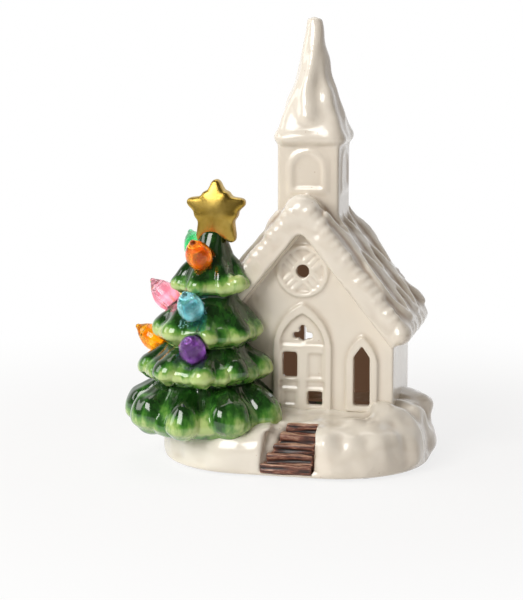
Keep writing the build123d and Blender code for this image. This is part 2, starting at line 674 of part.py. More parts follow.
def skirt(tier):
    """One skirt of the tree: a flared round body with a ring of drooping lobes along its rim."""
    bottom, rim, reach, rim_radius, waist, neck, lobes, lobe_radius, bearing = tier
    half_rim = rim / 2
    shoulder = (rim_radius - half_rim / 2, bottom + rim)
    foot = (rim_radius - half_rim, bottom)
    flare = Polyline(foot, (0, bottom), (0, neck[1]), neck, waist, shoulder)
    edge = ThreePointArc(shoulder, (rim_radius, bottom + half_rim), foot)
    face = make_face(flare.edges() + edge.edges())
    at = Pos(tree_axis_x(bottom), TREE_Y, 0)
    body = at * revolve(Plane.XZ * face, Axis.Z)
    for k in range(lobes):
        turn = radians(bearing + 360 * k / lobes)
        radius = lobe_radius * (1 + LOBE_SWAY * sin(LOBE_PHASE * k))
        out = reach - radius
        low = bottom + radius - LOBE_HANG
        inward = LOBE_AIM * neck[0] - out
        tail = Vector(inward * cos(turn), inward * sin(turn), neck[1] - LOBE_SINK - low)
        place = Plane(origin=(out * cos(turn), out * sin(turn), low), z_dir=tail)
        body += at * (place * drop(radius, tail.length))
    return body


def bulb_seat(tier, bearing, out):
    """Where a bulb's collar meets the upper side of its skirt."""
    bottom, rim, _, rim_radius, waist = TIERS[tier][:5]
    turn = radians(bearing)
    fall = out * (waist[1] - bottom - rim) / (rim_radius - waist[0])
    radius = waist[0] + out
    return Vector(
        tree_axis_x(bottom) + radius * cos(turn), TREE_Y + radius * sin(turn), waist[1] - fall
    )


def bulb_axis(bearing, tilt):
    """The way a bulb points."""
    flat = cos(radians(tilt))
    return Vector(flat * cos(radians(bearing)), flat * sin(radians(bearing)), sin(radians(tilt)))


def bulb_place(spec):
    """The plane of a bulb's collar, looking out along its axis."""
    _, tier, bearing, tilt, out = spec
    return Plane(origin=bulb_seat(tier, bearing, out), z_dir=bulb_axis(bearing, tilt))


def bulb():
    """One bulb, standing on its collar with its peg below."""
    belly = (BULB_RADIUS, BULB_BELLY)
    tip = (BULB_TIP, BULB_LENGTH - BULB_TIP)
    neck = (BULB_COLLAR, 0)
    base_handles = [(BULB_RADIUS * r, BULB_BELLY * z) for r, z in BULB_BASE_HANDLES]
    (full, above), (slim, below) = BULB_FLANK_HANDLES
    base = Bezier(neck, *base_handles, belly)
    upper = (BULB_RADIUS * full, BULB_BELLY * above)
    flank = Bezier(belly, upper, (BULB_TIP * slim, BULB_LENGTH * below), tip)
    curve = BULB_TIP * ROUND_HANDLE
    cap = Bezier(tip, (BULB_TIP, tip[1] + curve), (curve, BULB_LENGTH), (0, BULB_LENGTH))
    rest = Polyline(
        (0, BULB_LENGTH), (0, -PEG_LENGTH), (PEG_RADIUS, -PEG_LENGTH), (PEG_RADIUS, 0), neck
    )
    outline = base.edges() + flank.edges() + cap.edges() + rest.edges()
    return revolve(Plane.XZ * make_face(outline), Axis.Z)


def tree(base, roof, walls):
    """The tree: four skirts and a nub, fitted round the church's corner, hollow, with bulb holes."""
    body = skirt(TIERS[0])
    for tier in TIERS[1:]:
        body += skirt(tier)
    tip_radius, tip_z = TIERS[0][5]
    tip = Plane(origin=(tree_axis_x(TIERS[0][0]), TREE_Y, tip_z), z_dir=(0, 0, -1))
    body += tip * scale(drop(tip_radius, tip_radius), by=(1, 1, (TREE_TIP_Z - tip_z) / tip_radius))
    inward = Vector(-cos(radians(NUB_BEARING)), -sin(radians(NUB_BEARING)), 0)
    nub = Vector(tree_axis_x(NUB_Z), TREE_Y, NUB_Z) - inward * NUB_REACH
    body += Plane(origin=nub, z_dir=inward) * drop(NUB_RADIUS, NUB_REACH / 2)
    for spec in BULBS:
        path = BULB_LENGTH + BULB_PULL
        room = Pos(0, 0, path / 2) * Cylinder(BULB_RADIUS + BULB_CLEARANCE, path)
        body -= bulb_place(spec) * room
    body -= church_envelope()
    body -= walls
    body -= roof
    body -= base
    height = TREE_HOLLOW_TOP_Z - TREE_HOLLOW_LOW_Z
    hollow = Cone(TREE_HOLLOW_LOW, TREE_HOLLOW_HIGH, height)
    hollow = Pos(tree_axis_x(SILL_Z), TREE_Y, TREE_HOLLOW_LOW_Z + height / 2) * hollow
    hollow -= along_y(gable_face(HOUSE_WIDTH / 2 + WALL, 0, 0), -HOUSE_DEPTH / 2 - WALL, HOUSE_DEPTH / 2)
    body -= hollow
    for spec in BULBS:
        peg_room = PEG_LENGTH + CUT_PAST
        hole = Pos(0, 0, -peg_room / 2) * Cylinder(PEG_RADIUS + PEG_CLEARANCE, peg_room)
        body -= bulb_place(spec) * hole
    return max(body.solids(), key=lambda s: s.volume)


def star(tree_top):
    """A plump five-pointed star whose lower notch sits over the tree's tip."""
    points = []
    for k in range(2 * STAR_POINTS):
        turn = radians(90 + 180 * k / STAR_POINTS)
        radius = STAR_WAIST if k % 2 else STAR_RADIUS
        points.append((radius * cos(turn), radius * sin(turn)))
    face = make_face(Polyline(*points, close=True))
    far = [v for v in face.vertices() if Vector(*v).length > (STAR_RADIUS + STAR_WAIST) / 2]
    face = fillet(ShapeList(far), STAR_TIP_ROUND)
    near = [v for v in face.vertices() if Vector(*v).length < STAR_WAIST + NEAR]
    face = fillet(ShapeList(near), STAR_NOTCH_ROUND)
    slab = extrude(face, amount=STAR_THICK, both=True)
    sag = (STAR_THICK - STAR_TIP_THICK) / 2
    dome = (STAR_RADIUS**2 + sag**2) / (2 * sag)
    for side in (-1, 1):
        slab = slab & Pos(0, 0, side * (STAR_THICK / 2 - dome)) * Sphere(dome)
    plane = Plane(origin=(STAR_X, STAR_Y, STAR_Z), x_dir=(1, 0, 0), z_dir=(0, -1, 0))
    return plane * slab - tree_top


def battery_tray():
    """The plate that closes the base, with the cell box, screw boss, switch slot and board posts."""
    tray = block(unit_outline(0), PLATE_LOW_Z, PLATE_TOP_Z)
    outer_length = TRAY_INSIDE_LENGTH + 2 * TRAY_WALL
    outer_width = TRAY_INSIDE_WIDTH + 2 * TRAY_WALL
    tray += block(Pos(TRAY_X, TRAY_Y) * Rectangle(outer_length, outer_width), PLATE_LOW_Z, TRAY_TOP_Z)
    boss_x = (TRAY_X + TRAY_INSIDE_LENGTH / 2 + DOOR_RIGHT_X + 2 * TRAY_WALL) / 2
    boss_length = DOOR_TONGUE + 2 * TRAY_WALL
    tray += block(
        Pos(boss_x, TRAY_Y) * Rectangle(boss_length, BOSS_WIDTH), PLATE_LOW_Z, PLATE_TOP_Z + BOSS_HEIGHT
    )
    inside = Pos(TRAY_X, TRAY_Y) * Rectangle(TRAY_INSIDE_LENGTH, TRAY_INSIDE_WIDTH)
    tray -= block(inside, 0, TRAY_INSIDE_TOP_Z)
    way = Rectangle(DOOR_RIGHT_X - DOOR_LEFT_X, TRAY_INSIDE_WIDTH)
    way = Pos((DOOR_LEFT_X + DOOR_RIGHT_X) / 2, TRAY_Y) * way
    tray -= block(way, 0, PLATE_TOP_Z + DOOR_GAP)
    pilot = Pos(SCREW_X, TRAY_Y) * Circle(SCREW_RADIUS + SCREW_PLAY)
    tray -= block(pilot, 0, PLATE_TOP_Z + SCREW_GRIP + CUT_PAST)
    pin_room = DOOR_PIN_LENGTH + 2 * DOOR_GAP
    tray -= hinge_pins(DOOR_PIN_RADIUS + DOOR_PIN_CLEARANCE, pin_room)
    slot = Rectangle(KNOB_WIDTH + 2 * KNOB_GAP, KNOB_LENGTH + 2 * KNOB_TRAVEL + 2 * KNOB_GAP)
    tray -= block(Pos(SWITCH_X, TRAY_Y) * slot, 0, PLATE_TOP_Z + CUT_PAST)
    for x, y in board_posts():
        tray += block(Pos(x, y) * Circle(POST_RADIUS), TRAY_TOP_Z, BOARD_LOW_Z)
    return tray


def hinge_pins(radius, length):
    """Two pins in line, one at each side of the door, along Y."""
    pins = Part()
    for side in (-1, 1):
        y = TRAY_Y + side * (DOOR_DEPTH + length) / 2
        pins += Pos(DOOR_HINGE_X, y, DOOR_HINGE_Z) * Rot(90, 0, 0) * Cylinder(radius, length)
    return pins


def board_posts():
    """Where the board's two posts stand on the tray."""
    reach = BOARD_LENGTH / 2 - POST_INSET
    return [(BOARD_X - reach, BOARD_Y), (BOARD_X + reach, BOARD_Y)]


def battery_door():
    """A flat door with a rounded hinge edge, two pins, a screw hole and grip grooves."""
    right = DOOR_RIGHT_X - DOOR_GAP
    outline = Pos((DOOR_HINGE_X + right) / 2, TRAY_Y) * Rectangle(right - DOOR_HINGE_X, DOOR_DEPTH)
    door = block(outline, PLATE_LOW_Z, PLATE_TOP_Z)
    knuckle = Rot(90, 0, 0) * Cylinder(PLATE_THICK / 2, DOOR_DEPTH)
    door += Pos(DOOR_HINGE_X, TRAY_Y, DOOR_HINGE_Z) * knuckle
    door += hinge_pins(DOOR_PIN_RADIUS, DOOR_PIN_LENGTH)
    for k in range(GROOVE_COUNT):
        at = Pos(SCREW_X - DOOR_TONGUE - k * GROOVE_STEP, TRAY_Y)
        door -= block(at * Rectangle(GROOVE_WIDTH, DOOR_DEPTH / 2), PLATE_LOW_Z, PLATE_LOW_Z + GROOVE_DEPTH)
    return door - screw_shape(SCREW_CLEARANCE)


def screw_shape(grow):
    """A countersunk screw's outline, grown by a clearance."""
    shank = block(Pos(SCREW_X, TRAY_Y) * Circle(SCREW_RADIUS + grow), PLATE_LOW_Z, PLATE_TOP_Z + SCREW_GRIP)
    head = Pos(SCREW_X, TRAY_Y, PLATE_LOW_Z + SCREW_HEAD_HEIGHT / 2) * Cone(
        SCREW_HEAD + grow, SCREW_RADIUS + grow, SCREW_HEAD_HEIGHT
    )
    return shank + head


def door_screw():
    """The countersunk cross-head screw that locks the door."""
    screw = screw_shape(0)
    for turn in (0, 90):
        cut = Pos(SCREW_X, TRAY_Y) * Rot(0, 0, turn) * Rectangle(SCREW_SLOT_LENGTH, SCREW_SLOT)
        screw -= block(cut, PLATE_LOW_Z, PLATE_LOW_Z + SCREW_SLOT_DEPTH)
    return screw


def cell_row(k):
    """Y of a cell, and which way its positive end points."""
    y = TRAY_Y + (k - (CELL_COUNT - 1) / 2) * CELL_PITCH
    return y, 1 if k % 2 else -1


def cell(k):
    """One AAA cell with its positive nub."""
    y, way = cell_row(k)
    can = Cylinder(CELL_RADIUS, CELL_LENGTH)
    can += Pos(0, 0, (CELL_LENGTH + CELL_NUB) / 2) * Cylinder(CELL_NUB_RADIUS, CELL_NUB)
    return Pos(TRAY_X - way * CELL_NUB / 2, y, CELL_Z) * Rot(0, 90 * way, 0) * can


def contact_plate(k, end):
    """A flat contact on the tray's end wall."""
    y = cell_row(k)[0]
    x = TRAY_X + end * (TRAY_INSIDE_LENGTH - CONTACT_THICK) / 2
    return Pos(x, y, CELL_Z) * Box(CONTACT_THICK, CONTACT_SIDE, CONTACT_SIDE)


def positive_contact(k):
    """A plate with a round boss that meets the cell's nub."""
    y, way = cell_row(k)
    boss = CONTACT_ROOM - CONTACT_THICK
    x = TRAY_X + way * (TRAY_INSIDE_LENGTH / 2 - CONTACT_THICK - boss / 2)
    return contact_plate(k, way) + Pos(x, y, CELL_Z) * Rot(0, 90, 0) * Cylinder(CELL_NUB_RADIUS, boss)


def negative_contact(k):
    """A plate with a leaf folded off it that presses on the cell's flat end."""
    y, way = cell_row(k)
    end = -way
    wall = TRAY_X + end * (TRAY_INSIDE_LENGTH / 2 - CONTACT_THICK)
    tip = TRAY_X + end * (TRAY_INSIDE_LENGTH / 2 - CONTACT_ROOM)
    half = CONTACT_SIDE / 2
    leaf = make_face(
        Polyline(
            (wall, half), (tip, 0), (tip, -half / 2), (tip + end * CONTACT_THICK, -half / 2),
            (tip + end * CONTACT_THICK, 0), (wall, half - 2 * CONTACT_THICK),
            close=True,
        )
    )
    strip = Pos(0, y, CELL_Z) * along_y(leaf, -CONTACT_SIDE / 4, CONTACT_SIDE / 4)
    return contact_plate(k, end) + strip


def switch_body():
    """The slide switch's can, open below over the slot."""
    low = PLATE_TOP_Z
    can = block(Pos(SWITCH_X, TRAY_Y) * Rectangle(SWITCH_WIDTH, SWITCH_LENGTH), low, low + SWITCH_HEIGHT)
    inside = Rectangle(SWITCH_WIDTH - 2 * SWITCH_WALL, SWITCH_LENGTH - 2 * SWITCH_WALL)
    return can - block(Pos(SWITCH_X, TRAY_Y) * inside, low, low + SWITCH_HEIGHT - SWITCH_WALL)


def switch_knob():
    """The slider: a foot inside the can and a ribbed thumb piece through the slot."""
    y = TRAY_Y - KNOB_TRAVEL / 2
    tip = PLATE_LOW_Z - KNOB_DROP
    low = PLATE_TOP_Z + KNOB_GAP
    thumb = block(Pos(SWITCH_X, y) * Rectangle(KNOB_WIDTH, KNOB_LENGTH), tip, low)
    foot = Rectangle(KNOB_WIDTH + KNOB_FOOT, KNOB_LENGTH + KNOB_FOOT)
    thumb += block(Pos(SWITCH_X, y) * foot, low, low + KNOB_FOOT_HEIGHT)
    for k in (-1, 0, 1):
        groove = Pos(SWITCH_X, y + k * KNOB_LENGTH / 4) * Rectangle(KNOB_WIDTH, KNOB_GROOVE)
        thumb -= block(groove, tip, tip + KNOB_GROOVE_DEPTH)
    return thumb


def lamp(x, y, z):
    """A round LED with a flange and two leads."""
    body = Pos(x, y, z + LED_FLANGE_HEIGHT / 2) * Cylinder(LED_FLANGE, LED_FLANGE_HEIGHT)
    straight = LED_HEIGHT - LED_RADIUS
    body += Pos(x, y, z + straight / 2) * Cylinder(LED_RADIUS, straight)
    body += Pos(x, y, z + straight) * Sphere(LED_RADIUS)
    for side in (-1, 1):
        at = Pos(x + side * LED_LEAD_STEP / 2, y, z - LED_LEAD_LENGTH / 2)
        body += at * Cylinder(LED_LEAD, LED_LEAD_LENGTH)
    return body


def tree_led_socket():
    """A plug in the base's hole under the tree, with a flange below and a way for the lamp's leads."""
    at = Pos(SOCKET_X, SOCKET_Y)
    plug = block(at * Circle(SOCKET_RADIUS - PEG_CLEARANCE), HOLLOW_TOP_Z, SOCKET_TOP_Z)
    plug += block(at * Circle(SOCKET_FLANGE), HOLLOW_TOP_Z - SOCKET_FLANGE_HEIGHT, HOLLOW_TOP_Z)
    return plug - block(at * Circle(LED_RADIUS), 0, SOCKET_TOP_Z)


def wire(points):
    """A round wire along straight runs joined by arcs."""
    path = FilletPolyline(*points, radius=WIRE_BEND)
    section = Plane(origin=path @ 0, z_dir=path % 0) * Circle(WIRE_RADIUS)
    return sweep(section, path=path)


def tree_led_wires():
    """The pair from the board to the tree's lamp, round the back and left of the cell box."""
    pair = []
    low = HOLLOW_LOW_Z + WIRE_RUN_LIFT
    left = TRAY_X - TRAY_INSIDE_LENGTH / 2 - TRAY_WALL
    back = TRAY_Y + TRAY_INSIDE_WIDTH / 2 + TRAY_WALL
    front = TRAY_Y - TRAY_INSIDE_WIDTH / 2 - TRAY_WALL
    pad_y = BOARD_Y + BOARD_WIDTH / 2 - WIRE_START_INSET
    high = BOARD_TOP_Z + WIRE_STAND
    for k in (0, 1):
        step = WIRE_STEP * k
        lead_x = SOCKET_X - WIRE_STEP / 2 + step
        run_x = left - WIRE_TRAY_GAP - step
        run_y = back + WIRE_TRAY_GAP + step
        pair.append(
            wire(
                [
                    (BOARD_X - WIRE_START_X + step, pad_y, BOARD_TOP_Z + NEAR),
                    (BOARD_X - WIRE_START_X + step, pad_y, high),
                    (BOARD_X - WIRE_TURN_X + step, run_y, high),
                    (BOARD_X - WIRE_DROP_X + step, run_y, low + step),
                    (run_x, run_y, low + step),
                    (run_x, front, low + step),
                    (lead_x, SOCKET_Y, low + step),
                    (lead_x, SOCKET_Y, SOCKET_TOP_Z - LED_LEAD_LENGTH - WIRE_LEAD_GAP),
                ]
            )
        )
    return Compound(pair)


def foam_tape():
    """The double-sided tape ring that holds the unit in its rebate."""
    ring = unit_outline(0) - unit_outline(UNIT_LEDGE)
    return block(ring, PLATE_TOP_Z, REBATE_Z)


def felt_pads():
    """Four pads under the base's foot."""
    pads = []
    pad_x = BASE_WIDTH / 2 - PAD_INSET_X
    pad_y = BASE_DEPTH / 2 - PAD_INSET_Y
    for x in (-pad_x, pad_x):
        for y in (-pad_y, pad_y):
            at = Pos(BASE_X + x, BASE_Y + y, PAD_THICK / 2)
            pads.append(at * Cylinder(PAD_RADIUS, PAD_THICK))
    return Compound(pads)


def build():
    """Every node by name, still in the church's own frame."""
    roof = roof_envelope()
    base_outside = base_envelope()
    walls = church_walls()
    green_tree = tree(base_outside, roof, walls)
    nodes = {
        "church_walls": walls,
        "snowy_roof": snowy_roof(roof),
        "steeple_tower": steeple_tower(roof),
        "steeple_spire": steeple_spire(),
        "snow_base": snow_base(),
        "plank_steps": step_flight(0),
        "tree": green_tree,
        "gold_star": star(green_tree),
        "battery_tray": battery_tray(),
        "foam_tape": foam_tape(),
        "battery_door": battery_door(),
        "door_screw": door_screw(),
        "positive_contacts": Compound([positive_contact(k).solid() for k in range(CELL_COUNT)]),
        "negative_contacts": Compound([negative_contact(k).solid() for k in range(CELL_COUNT)]),
        "switch_body": switch_body(),
        "switch_knob": switch_knob(),
        "circuit_board": Pos(BOARD_X, BOARD_Y, BOARD_LOW_Z + BOARD_THICK / 2)
        * Box(BOARD_LENGTH, BOARD_WIDTH, BOARD_THICK),
        "timer_chip": Pos(BOARD_X + BOARD_LENGTH / 4, BOARD_Y, BOARD_TOP_Z + CHIP_HEIGHT / 2)
        * Box(CHIP_LENGTH, CHIP_WIDTH, CHIP_HEIGHT),
        "church_led": lamp(BOARD_X, BOARD_Y, HOUSE_LED_Z),
        "tree_led": lamp(SOCKET_X, SOCKET_Y, SOCKET_TOP_Z),
        "tree_led_socket": tree_led_socket(),
        "tree_led_wires": tree_led_wires(),
        "felt_pads": felt_pads(),
    }
    for k in range(CELL_COUNT):
        nodes[f"battery_{k + 1}"] = cell(k)
    for spec in BULBS:
        nodes[spec[0]] = bulb_place(spec) * bulb()
    return nodes


NODES = build()
BOXES = [shape.bounding_box() for shape in NODES.values()]
LOW = Vector(min(b.min.X for b in BOXES), min(b.min.Y for b in BOXES), min(b.min.Z for b in BOXES))
HIGH = Vector(max(b.max.X for b in BOXES), max(b.max.Y for b in BOXES), max(b.max.Z for b in BOXES))
ORIGIN = Vector((LOW.X + HIGH.X) / 2, (LOW.Y + HIGH.Y) / 2, LOW.Z)
os.makedirs("parts", exist_ok=True)
for name, shape in NODES.items():
    print(name, len(shape.solids()), shape.is_valid, round(shape.volume, 1))
    export_step(Pos(-ORIGIN.X, -ORIGIN.Y, -ORIGIN.Z) * shape, f"parts/{name}.step")
print("origin in the church's frame", ORIGIN, "size", HIGH - LOW)
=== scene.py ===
# %% [markdown]
# # A lit ceramic village church
# The real piece is slip cast: a church under one cream glaze, with a green glazed tree at its front corner,
# eight plastic bulbs pushed into the tree, a gold star, painted steps, and a battery unit let into the base.
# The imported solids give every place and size. Each step below makes one piece or one finish round them.

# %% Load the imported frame
import json
import math

import bmesh
import bpy
import numpy as np
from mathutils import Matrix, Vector

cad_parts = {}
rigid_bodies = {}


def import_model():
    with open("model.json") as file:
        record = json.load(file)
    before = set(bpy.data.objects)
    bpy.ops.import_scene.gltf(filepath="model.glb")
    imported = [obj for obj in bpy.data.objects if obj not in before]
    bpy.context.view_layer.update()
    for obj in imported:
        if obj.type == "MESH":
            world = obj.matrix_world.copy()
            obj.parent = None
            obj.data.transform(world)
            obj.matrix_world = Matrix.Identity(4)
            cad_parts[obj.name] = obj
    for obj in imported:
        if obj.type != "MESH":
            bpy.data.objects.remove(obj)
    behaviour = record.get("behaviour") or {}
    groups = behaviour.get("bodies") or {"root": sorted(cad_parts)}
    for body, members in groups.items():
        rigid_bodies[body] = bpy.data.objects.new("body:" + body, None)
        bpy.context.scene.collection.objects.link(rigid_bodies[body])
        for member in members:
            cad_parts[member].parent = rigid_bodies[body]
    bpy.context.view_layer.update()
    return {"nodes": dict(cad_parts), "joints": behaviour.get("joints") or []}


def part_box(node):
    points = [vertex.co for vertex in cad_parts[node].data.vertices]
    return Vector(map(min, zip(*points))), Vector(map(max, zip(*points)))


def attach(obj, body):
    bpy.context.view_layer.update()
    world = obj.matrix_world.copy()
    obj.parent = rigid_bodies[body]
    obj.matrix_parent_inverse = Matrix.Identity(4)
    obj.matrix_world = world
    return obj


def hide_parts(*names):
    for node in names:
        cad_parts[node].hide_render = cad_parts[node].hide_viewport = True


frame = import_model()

MM = 0.001
nodes = frame["nodes"]

# %% [markdown]
# ## The church's own millimetres
# The solids were drawn with the church on X = Y = 0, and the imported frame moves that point. Reading the place
# of the walls back from their box gives one small helper, so that later sizes can be plain millimetres.

# %% A helper for places
walls_low, walls_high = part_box("church_walls")
CHURCH = Vector(((walls_low.x + walls_high.x) / 2, (walls_low.y + walls_high.y) / 2, 0))


def spot(x, y, z):
    """A place given in the church's own millimetres, as metres in the shared frame."""
    return CHURCH + Vector((x, y, z)) * MM


print("church stands at", [round(v, 4) for v in CHURCH])

# %% [markdown]
# ## Camera
# The photograph looks from a little to the right and a little above, with a long lens. A camera could be
# placed by eye, but working back from known edges (eaves, steps, tree tip) gives its bearing and distance
# outright.

# %% The camera
AIM = spot(-19.5, -20, 71.5)
BEARING = math.radians(13)
HEIGHT_ANGLE = math.radians(9.5)
DISTANCE = 0.8
LENS = 106.9
NEAR_CLIP = 0.01
flat = math.cos(HEIGHT_ANGLE)
back = Vector((math.sin(BEARING) * flat, -math.cos(BEARING) * flat, math.sin(HEIGHT_ANGLE)))
camera = bpy.data.objects.new("camera", bpy.data.cameras.new("camera"))
camera.location = AIM + back * DISTANCE
camera.rotation_euler = back.to_track_quat("Z", "Y").to_euler()
camera.data.lens = LENS
camera.data.clip_start = NEAR_CLIP
bpy.context.collection.objects.link(camera)
bpy.context.scene.camera = camera
bpy.context.scene.view_settings.view_transform = "Standard"
print("camera at", [round(v, 3) for v in camera.location])

# %% [markdown]
# ## Node webs as sums
# A finish is a web of nodes, and so is a tree of Geometry Nodes; long webs are hard to read in code. One
# small class wraps a socket, so that `1 - mask` or `grain * 0.3` adds the Math nodes by itself, and one
# method adds every other kind of node.


# %% A socket that can be used in sums
def sum_of(operation):
    """A method that puts two values through a Math node."""
    return lambda self, other: self.maths(operation, self, other)


def plug(socket, value):
    """Links a dab to a socket, or sets the socket's value; a colour gets its fourth number."""
    if isinstance(value, Dab):
        value.tree.links.new(value.socket, socket)
    else:
        socket.default_value = (*value, 1) if socket.type == "RGBA" else value


class Dab:
    """A socket in a web of nodes that is being built; sums on dabs add Math nodes."""

    def __init__(self, tree, socket=None):
        self.tree = tree
        self.socket = socket

    def node(self, kind, sockets=None, out=0, **settings):
        """Adds a node: its settings first, then the values or links of its sockets."""
        made = self.tree.nodes.new(kind)
        for name, value in settings.items():
            setattr(made, name, value)
        for name, value in (sockets or {}).items():
            plug(made.inputs[name], value)
        return Dab(self.tree, made.outputs[out])

    def maths(self, operation, *values):
        return self.node("ShaderNodeMath", dict(enumerate(values)), operation=operation)

    __add__ = __radd__ = sum_of("ADD")
    __mul__ = __rmul__ = sum_of("MULTIPLY")
    __sub__ = sum_of("SUBTRACT")
    __truediv__ = sum_of("DIVIDE")
    most = sum_of("MAXIMUM")

    def __rsub__(self, other):
        return self.maths("SUBTRACT", other, self)

    def through(self, operation):
        """The dab put through a Math node that takes one value."""
        return self.maths(operation, self)

    def between(self, low, high):
        """0 below one value and 1 above the other, with a smooth step between."""
        return self.node(
            "ShaderNodeMapRange", {"Value": self, "From Min": low, "From Max": high},
            interpolation_type="SMOOTHSTEP",
        )


print("sums on sockets ready")

# %% [markdown]
# ## Words for mixing finishes
# Most finishes need the same few moves: the piece's own coordinates, cloudy noise, a colour between two
# colours, a value painted on the mesh, and a bump. Naming them once keeps each finish to a few lines.


# %% Helpers for finishes
def new_finish(name):
    """An empty material with a Principled shader: the material, a dab to mix from, and the shader."""
    material = bpy.data.materials.new(name)
    material.use_nodes = True
    tree = material.node_tree
    shader = next(n for n in tree.nodes if n.type == "BSDF_PRINCIPLED")
    print("finish", name)
    return material, Dab(tree), shader


def feed(shader, **sockets):
    """Sets or links sockets of a node; an underscore stands for a space."""
    for name, value in sockets.items():
        plug(shader.inputs[name.replace("_", " ")], value)


print("finish helpers ready")


# %% Helpers for patterns and colours
def own_place(mix, stretch=(1, 1, 1)):
    """The piece's own coordinates, stretched by a factor on each axis."""
    place = mix.node("ShaderNodeTexCoord", out="Object")
    return mix.node("ShaderNodeMapping", {"Vector": place, "Scale": stretch})


def cloud(place, size, detail=3.0, roughness=0.55):
    """Cloudy noise whose patches are about a given number of millimetres across."""
    return place.node(
        "ShaderNodeTexNoise",
        {"Vector": place, "Scale": 1 / (size * MM), "Detail": detail, "Roughness": roughness},
    )


def tint(share, first, second):
    """A colour between two colours."""
    return share.node(
        "ShaderNodeMix", {0: share, 6: first, 7: second}, out=2, data_type="RGBA", clamp_factor=True
    )


def painted(mix, name):
    """A value painted on the mesh's points."""
    return mix.node("ShaderNodeAttribute", out="Fac", attribute_name=name)


def bump(height, depth, strength):
    """A normal from a height of 0 to 1 that is a given number of millimetres deep."""
    return height.node(
        "ShaderNodeBump", {"Height": height, "Distance": depth * MM, "Strength": strength}, out="Normal"
    )


print("pattern helpers ready")

# %% [markdown]
# ## Cream glaze
# The church's glaze is glossy cream: pale on raised snow, darker and tan in corners and between the strands on
# the roof, partly where the glaze pools and partly as painted shade. The inside is bare clay, painted warm
# brown as the shade seen through the windows; a faint glow stands for the light that thin clay lets through.
# Painting these by hand would take long, so each mesh carries a value measured from its own curves.

# %% The cream glaze
BLACK = (0, 0, 0)
CREAM, PALE_CREAM, SNOW_CREAM = (0.84, 0.77, 0.665), (0.865, 0.81, 0.715), (0.87, 0.825, 0.735)
POOL_AND_SHADE_TAN, SPECK_BROWN = (0.36, 0.245, 0.15), (0.45, 0.30, 0.18)
INSIDE_SHADE_BROWN, CLAY_GLOW = (0.27, 0.175, 0.115), (0.11, 0.062, 0.037)
SPECKS = 160.0  # to a metre
white_glaze, mix, shader = new_finish("white_glaze")
place = own_place(mix)
pool_and_shade = painted(mix, "hollow")
inside = painted(mix, "inside")
clouds = cloud(place, 14)
colour = tint(clouds.between(0.35, 0.7) * 0.5, CREAM, PALE_CREAM)
colour = tint(painted(mix, "snow") * 0.75, colour, SNOW_CREAM)
# Tan in hollows: partly glaze that pools there, partly painted shade
colour = tint(pool_and_shade * (0.6 + cloud(place, 5) * 0.5), colour, POOL_AND_SHADE_TAN)
speck = mix.node("ShaderNodeTexVoronoi", {"Vector": place, "Scale": SPECKS}, out="Distance")
colour = tint((1 - speck.between(0.035, 0.06)) * 0.5, colour, SPECK_BROWN)
# Painted shade: the inside turns dark brown, with a faint painted glow for light through the thin clay
colour = tint(inside, colour, INSIDE_SHADE_BROWN)
feed(
    shader,
    Base_Color=colour,
    Roughness=0.16 + clouds * 0.06 + inside * 0.6,
    Coat_Weight=0.5 - inside * 0.5,
    Coat_Roughness=0.05,
    Emission_Color=tint(inside, BLACK, CLAY_GLOW),
    Emission_Strength=0.6,
    Normal=bump(cloud(place, 9, 2.0) + cloud(place, 2.5, 1.0) * 0.1, 0.3, 0.5),
)

# %% [markdown]
# ## Green glaze
# The tree's glaze is brushed on: nearly black green where it lies thick above, bright yellow green where it
# breaks thin over the lobes of each skirt. One green would miss that. The mesh carries how near the rim each
# point is, with painted light on lobes that bulge or face up and painted shade in folds and where they face
# down;
# brushy noise breaks the edge, and a ramp of five greens turns the sum into a colour.


# %% The green glaze
def ramp(value, stops):
    """A colour read from a row of stops."""
    made = value.node("ShaderNodeValToRGB", {0: value})
    row = made.socket.node.color_ramp.elements
    while len(row) < len(stops):
        row.new(1.0)
    for element, (place, colour) in zip(row, stops):
        element.position = place
        element.color = (*colour, 1)
    return made


GREENS = [
    (0.0, (0.007, 0.038, 0.005)), (0.25, (0.020, 0.100, 0.012)), (0.48, (0.068, 0.235, 0.03)),
    (0.7, (0.18, 0.37, 0.07)), (0.96, (0.48, 0.63, 0.22)),
]
green_glaze, mix, shader = new_finish("green_glaze")
strokes = cloud(own_place(mix, (1, 1, 0.3)), 2.6, 4.0)
blots = cloud(own_place(mix), 9)
# The rim value holds the thin glaze together with painted light and shade
thin_glaze_and_light = painted(mix, "rim") + (strokes - 0.5) * 0.9 + (blots - 0.5) * 1.2
feed(
    shader,
    Base_Color=ramp(thin_glaze_and_light, GREENS),
    Roughness=0.1 + blots * 0.06,
    Coat_Weight=0.7,
    Coat_Roughness=0.04,
    Normal=bump(blots + strokes * 0.1, 0.25, 0.5),
)

# %% [markdown]
# ## Gold, painted wood and tinted plastic
# The star is satin gold lustre with a fine grain. The steps are brushed brown, darker and glossy in the grooves
# and paler on the treads. The bulbs are clear tinted plastic: light comes through, picks out their seams and
# gathers in the middle, for which a painted core glows a little.

# %% Gold lustre
GOLD, PALE_GOLD = (0.43, 0.285, 0.05), (0.58, 0.41, 0.10)
gold_lustre, mix, shader = new_finish("gold_lustre")
place = own_place(mix)
grain = cloud(place, 0.5, 2.0)
patches = cloud(place, 7)
feed(
    shader,
    Base_Color=tint(patches.between(0.3, 0.7), GOLD, PALE_GOLD),
    Metallic=1.0,
    Roughness=0.24 + grain * 0.14 + patches * 0.06,
    Normal=bump(grain, 0.05, 0.6),
)

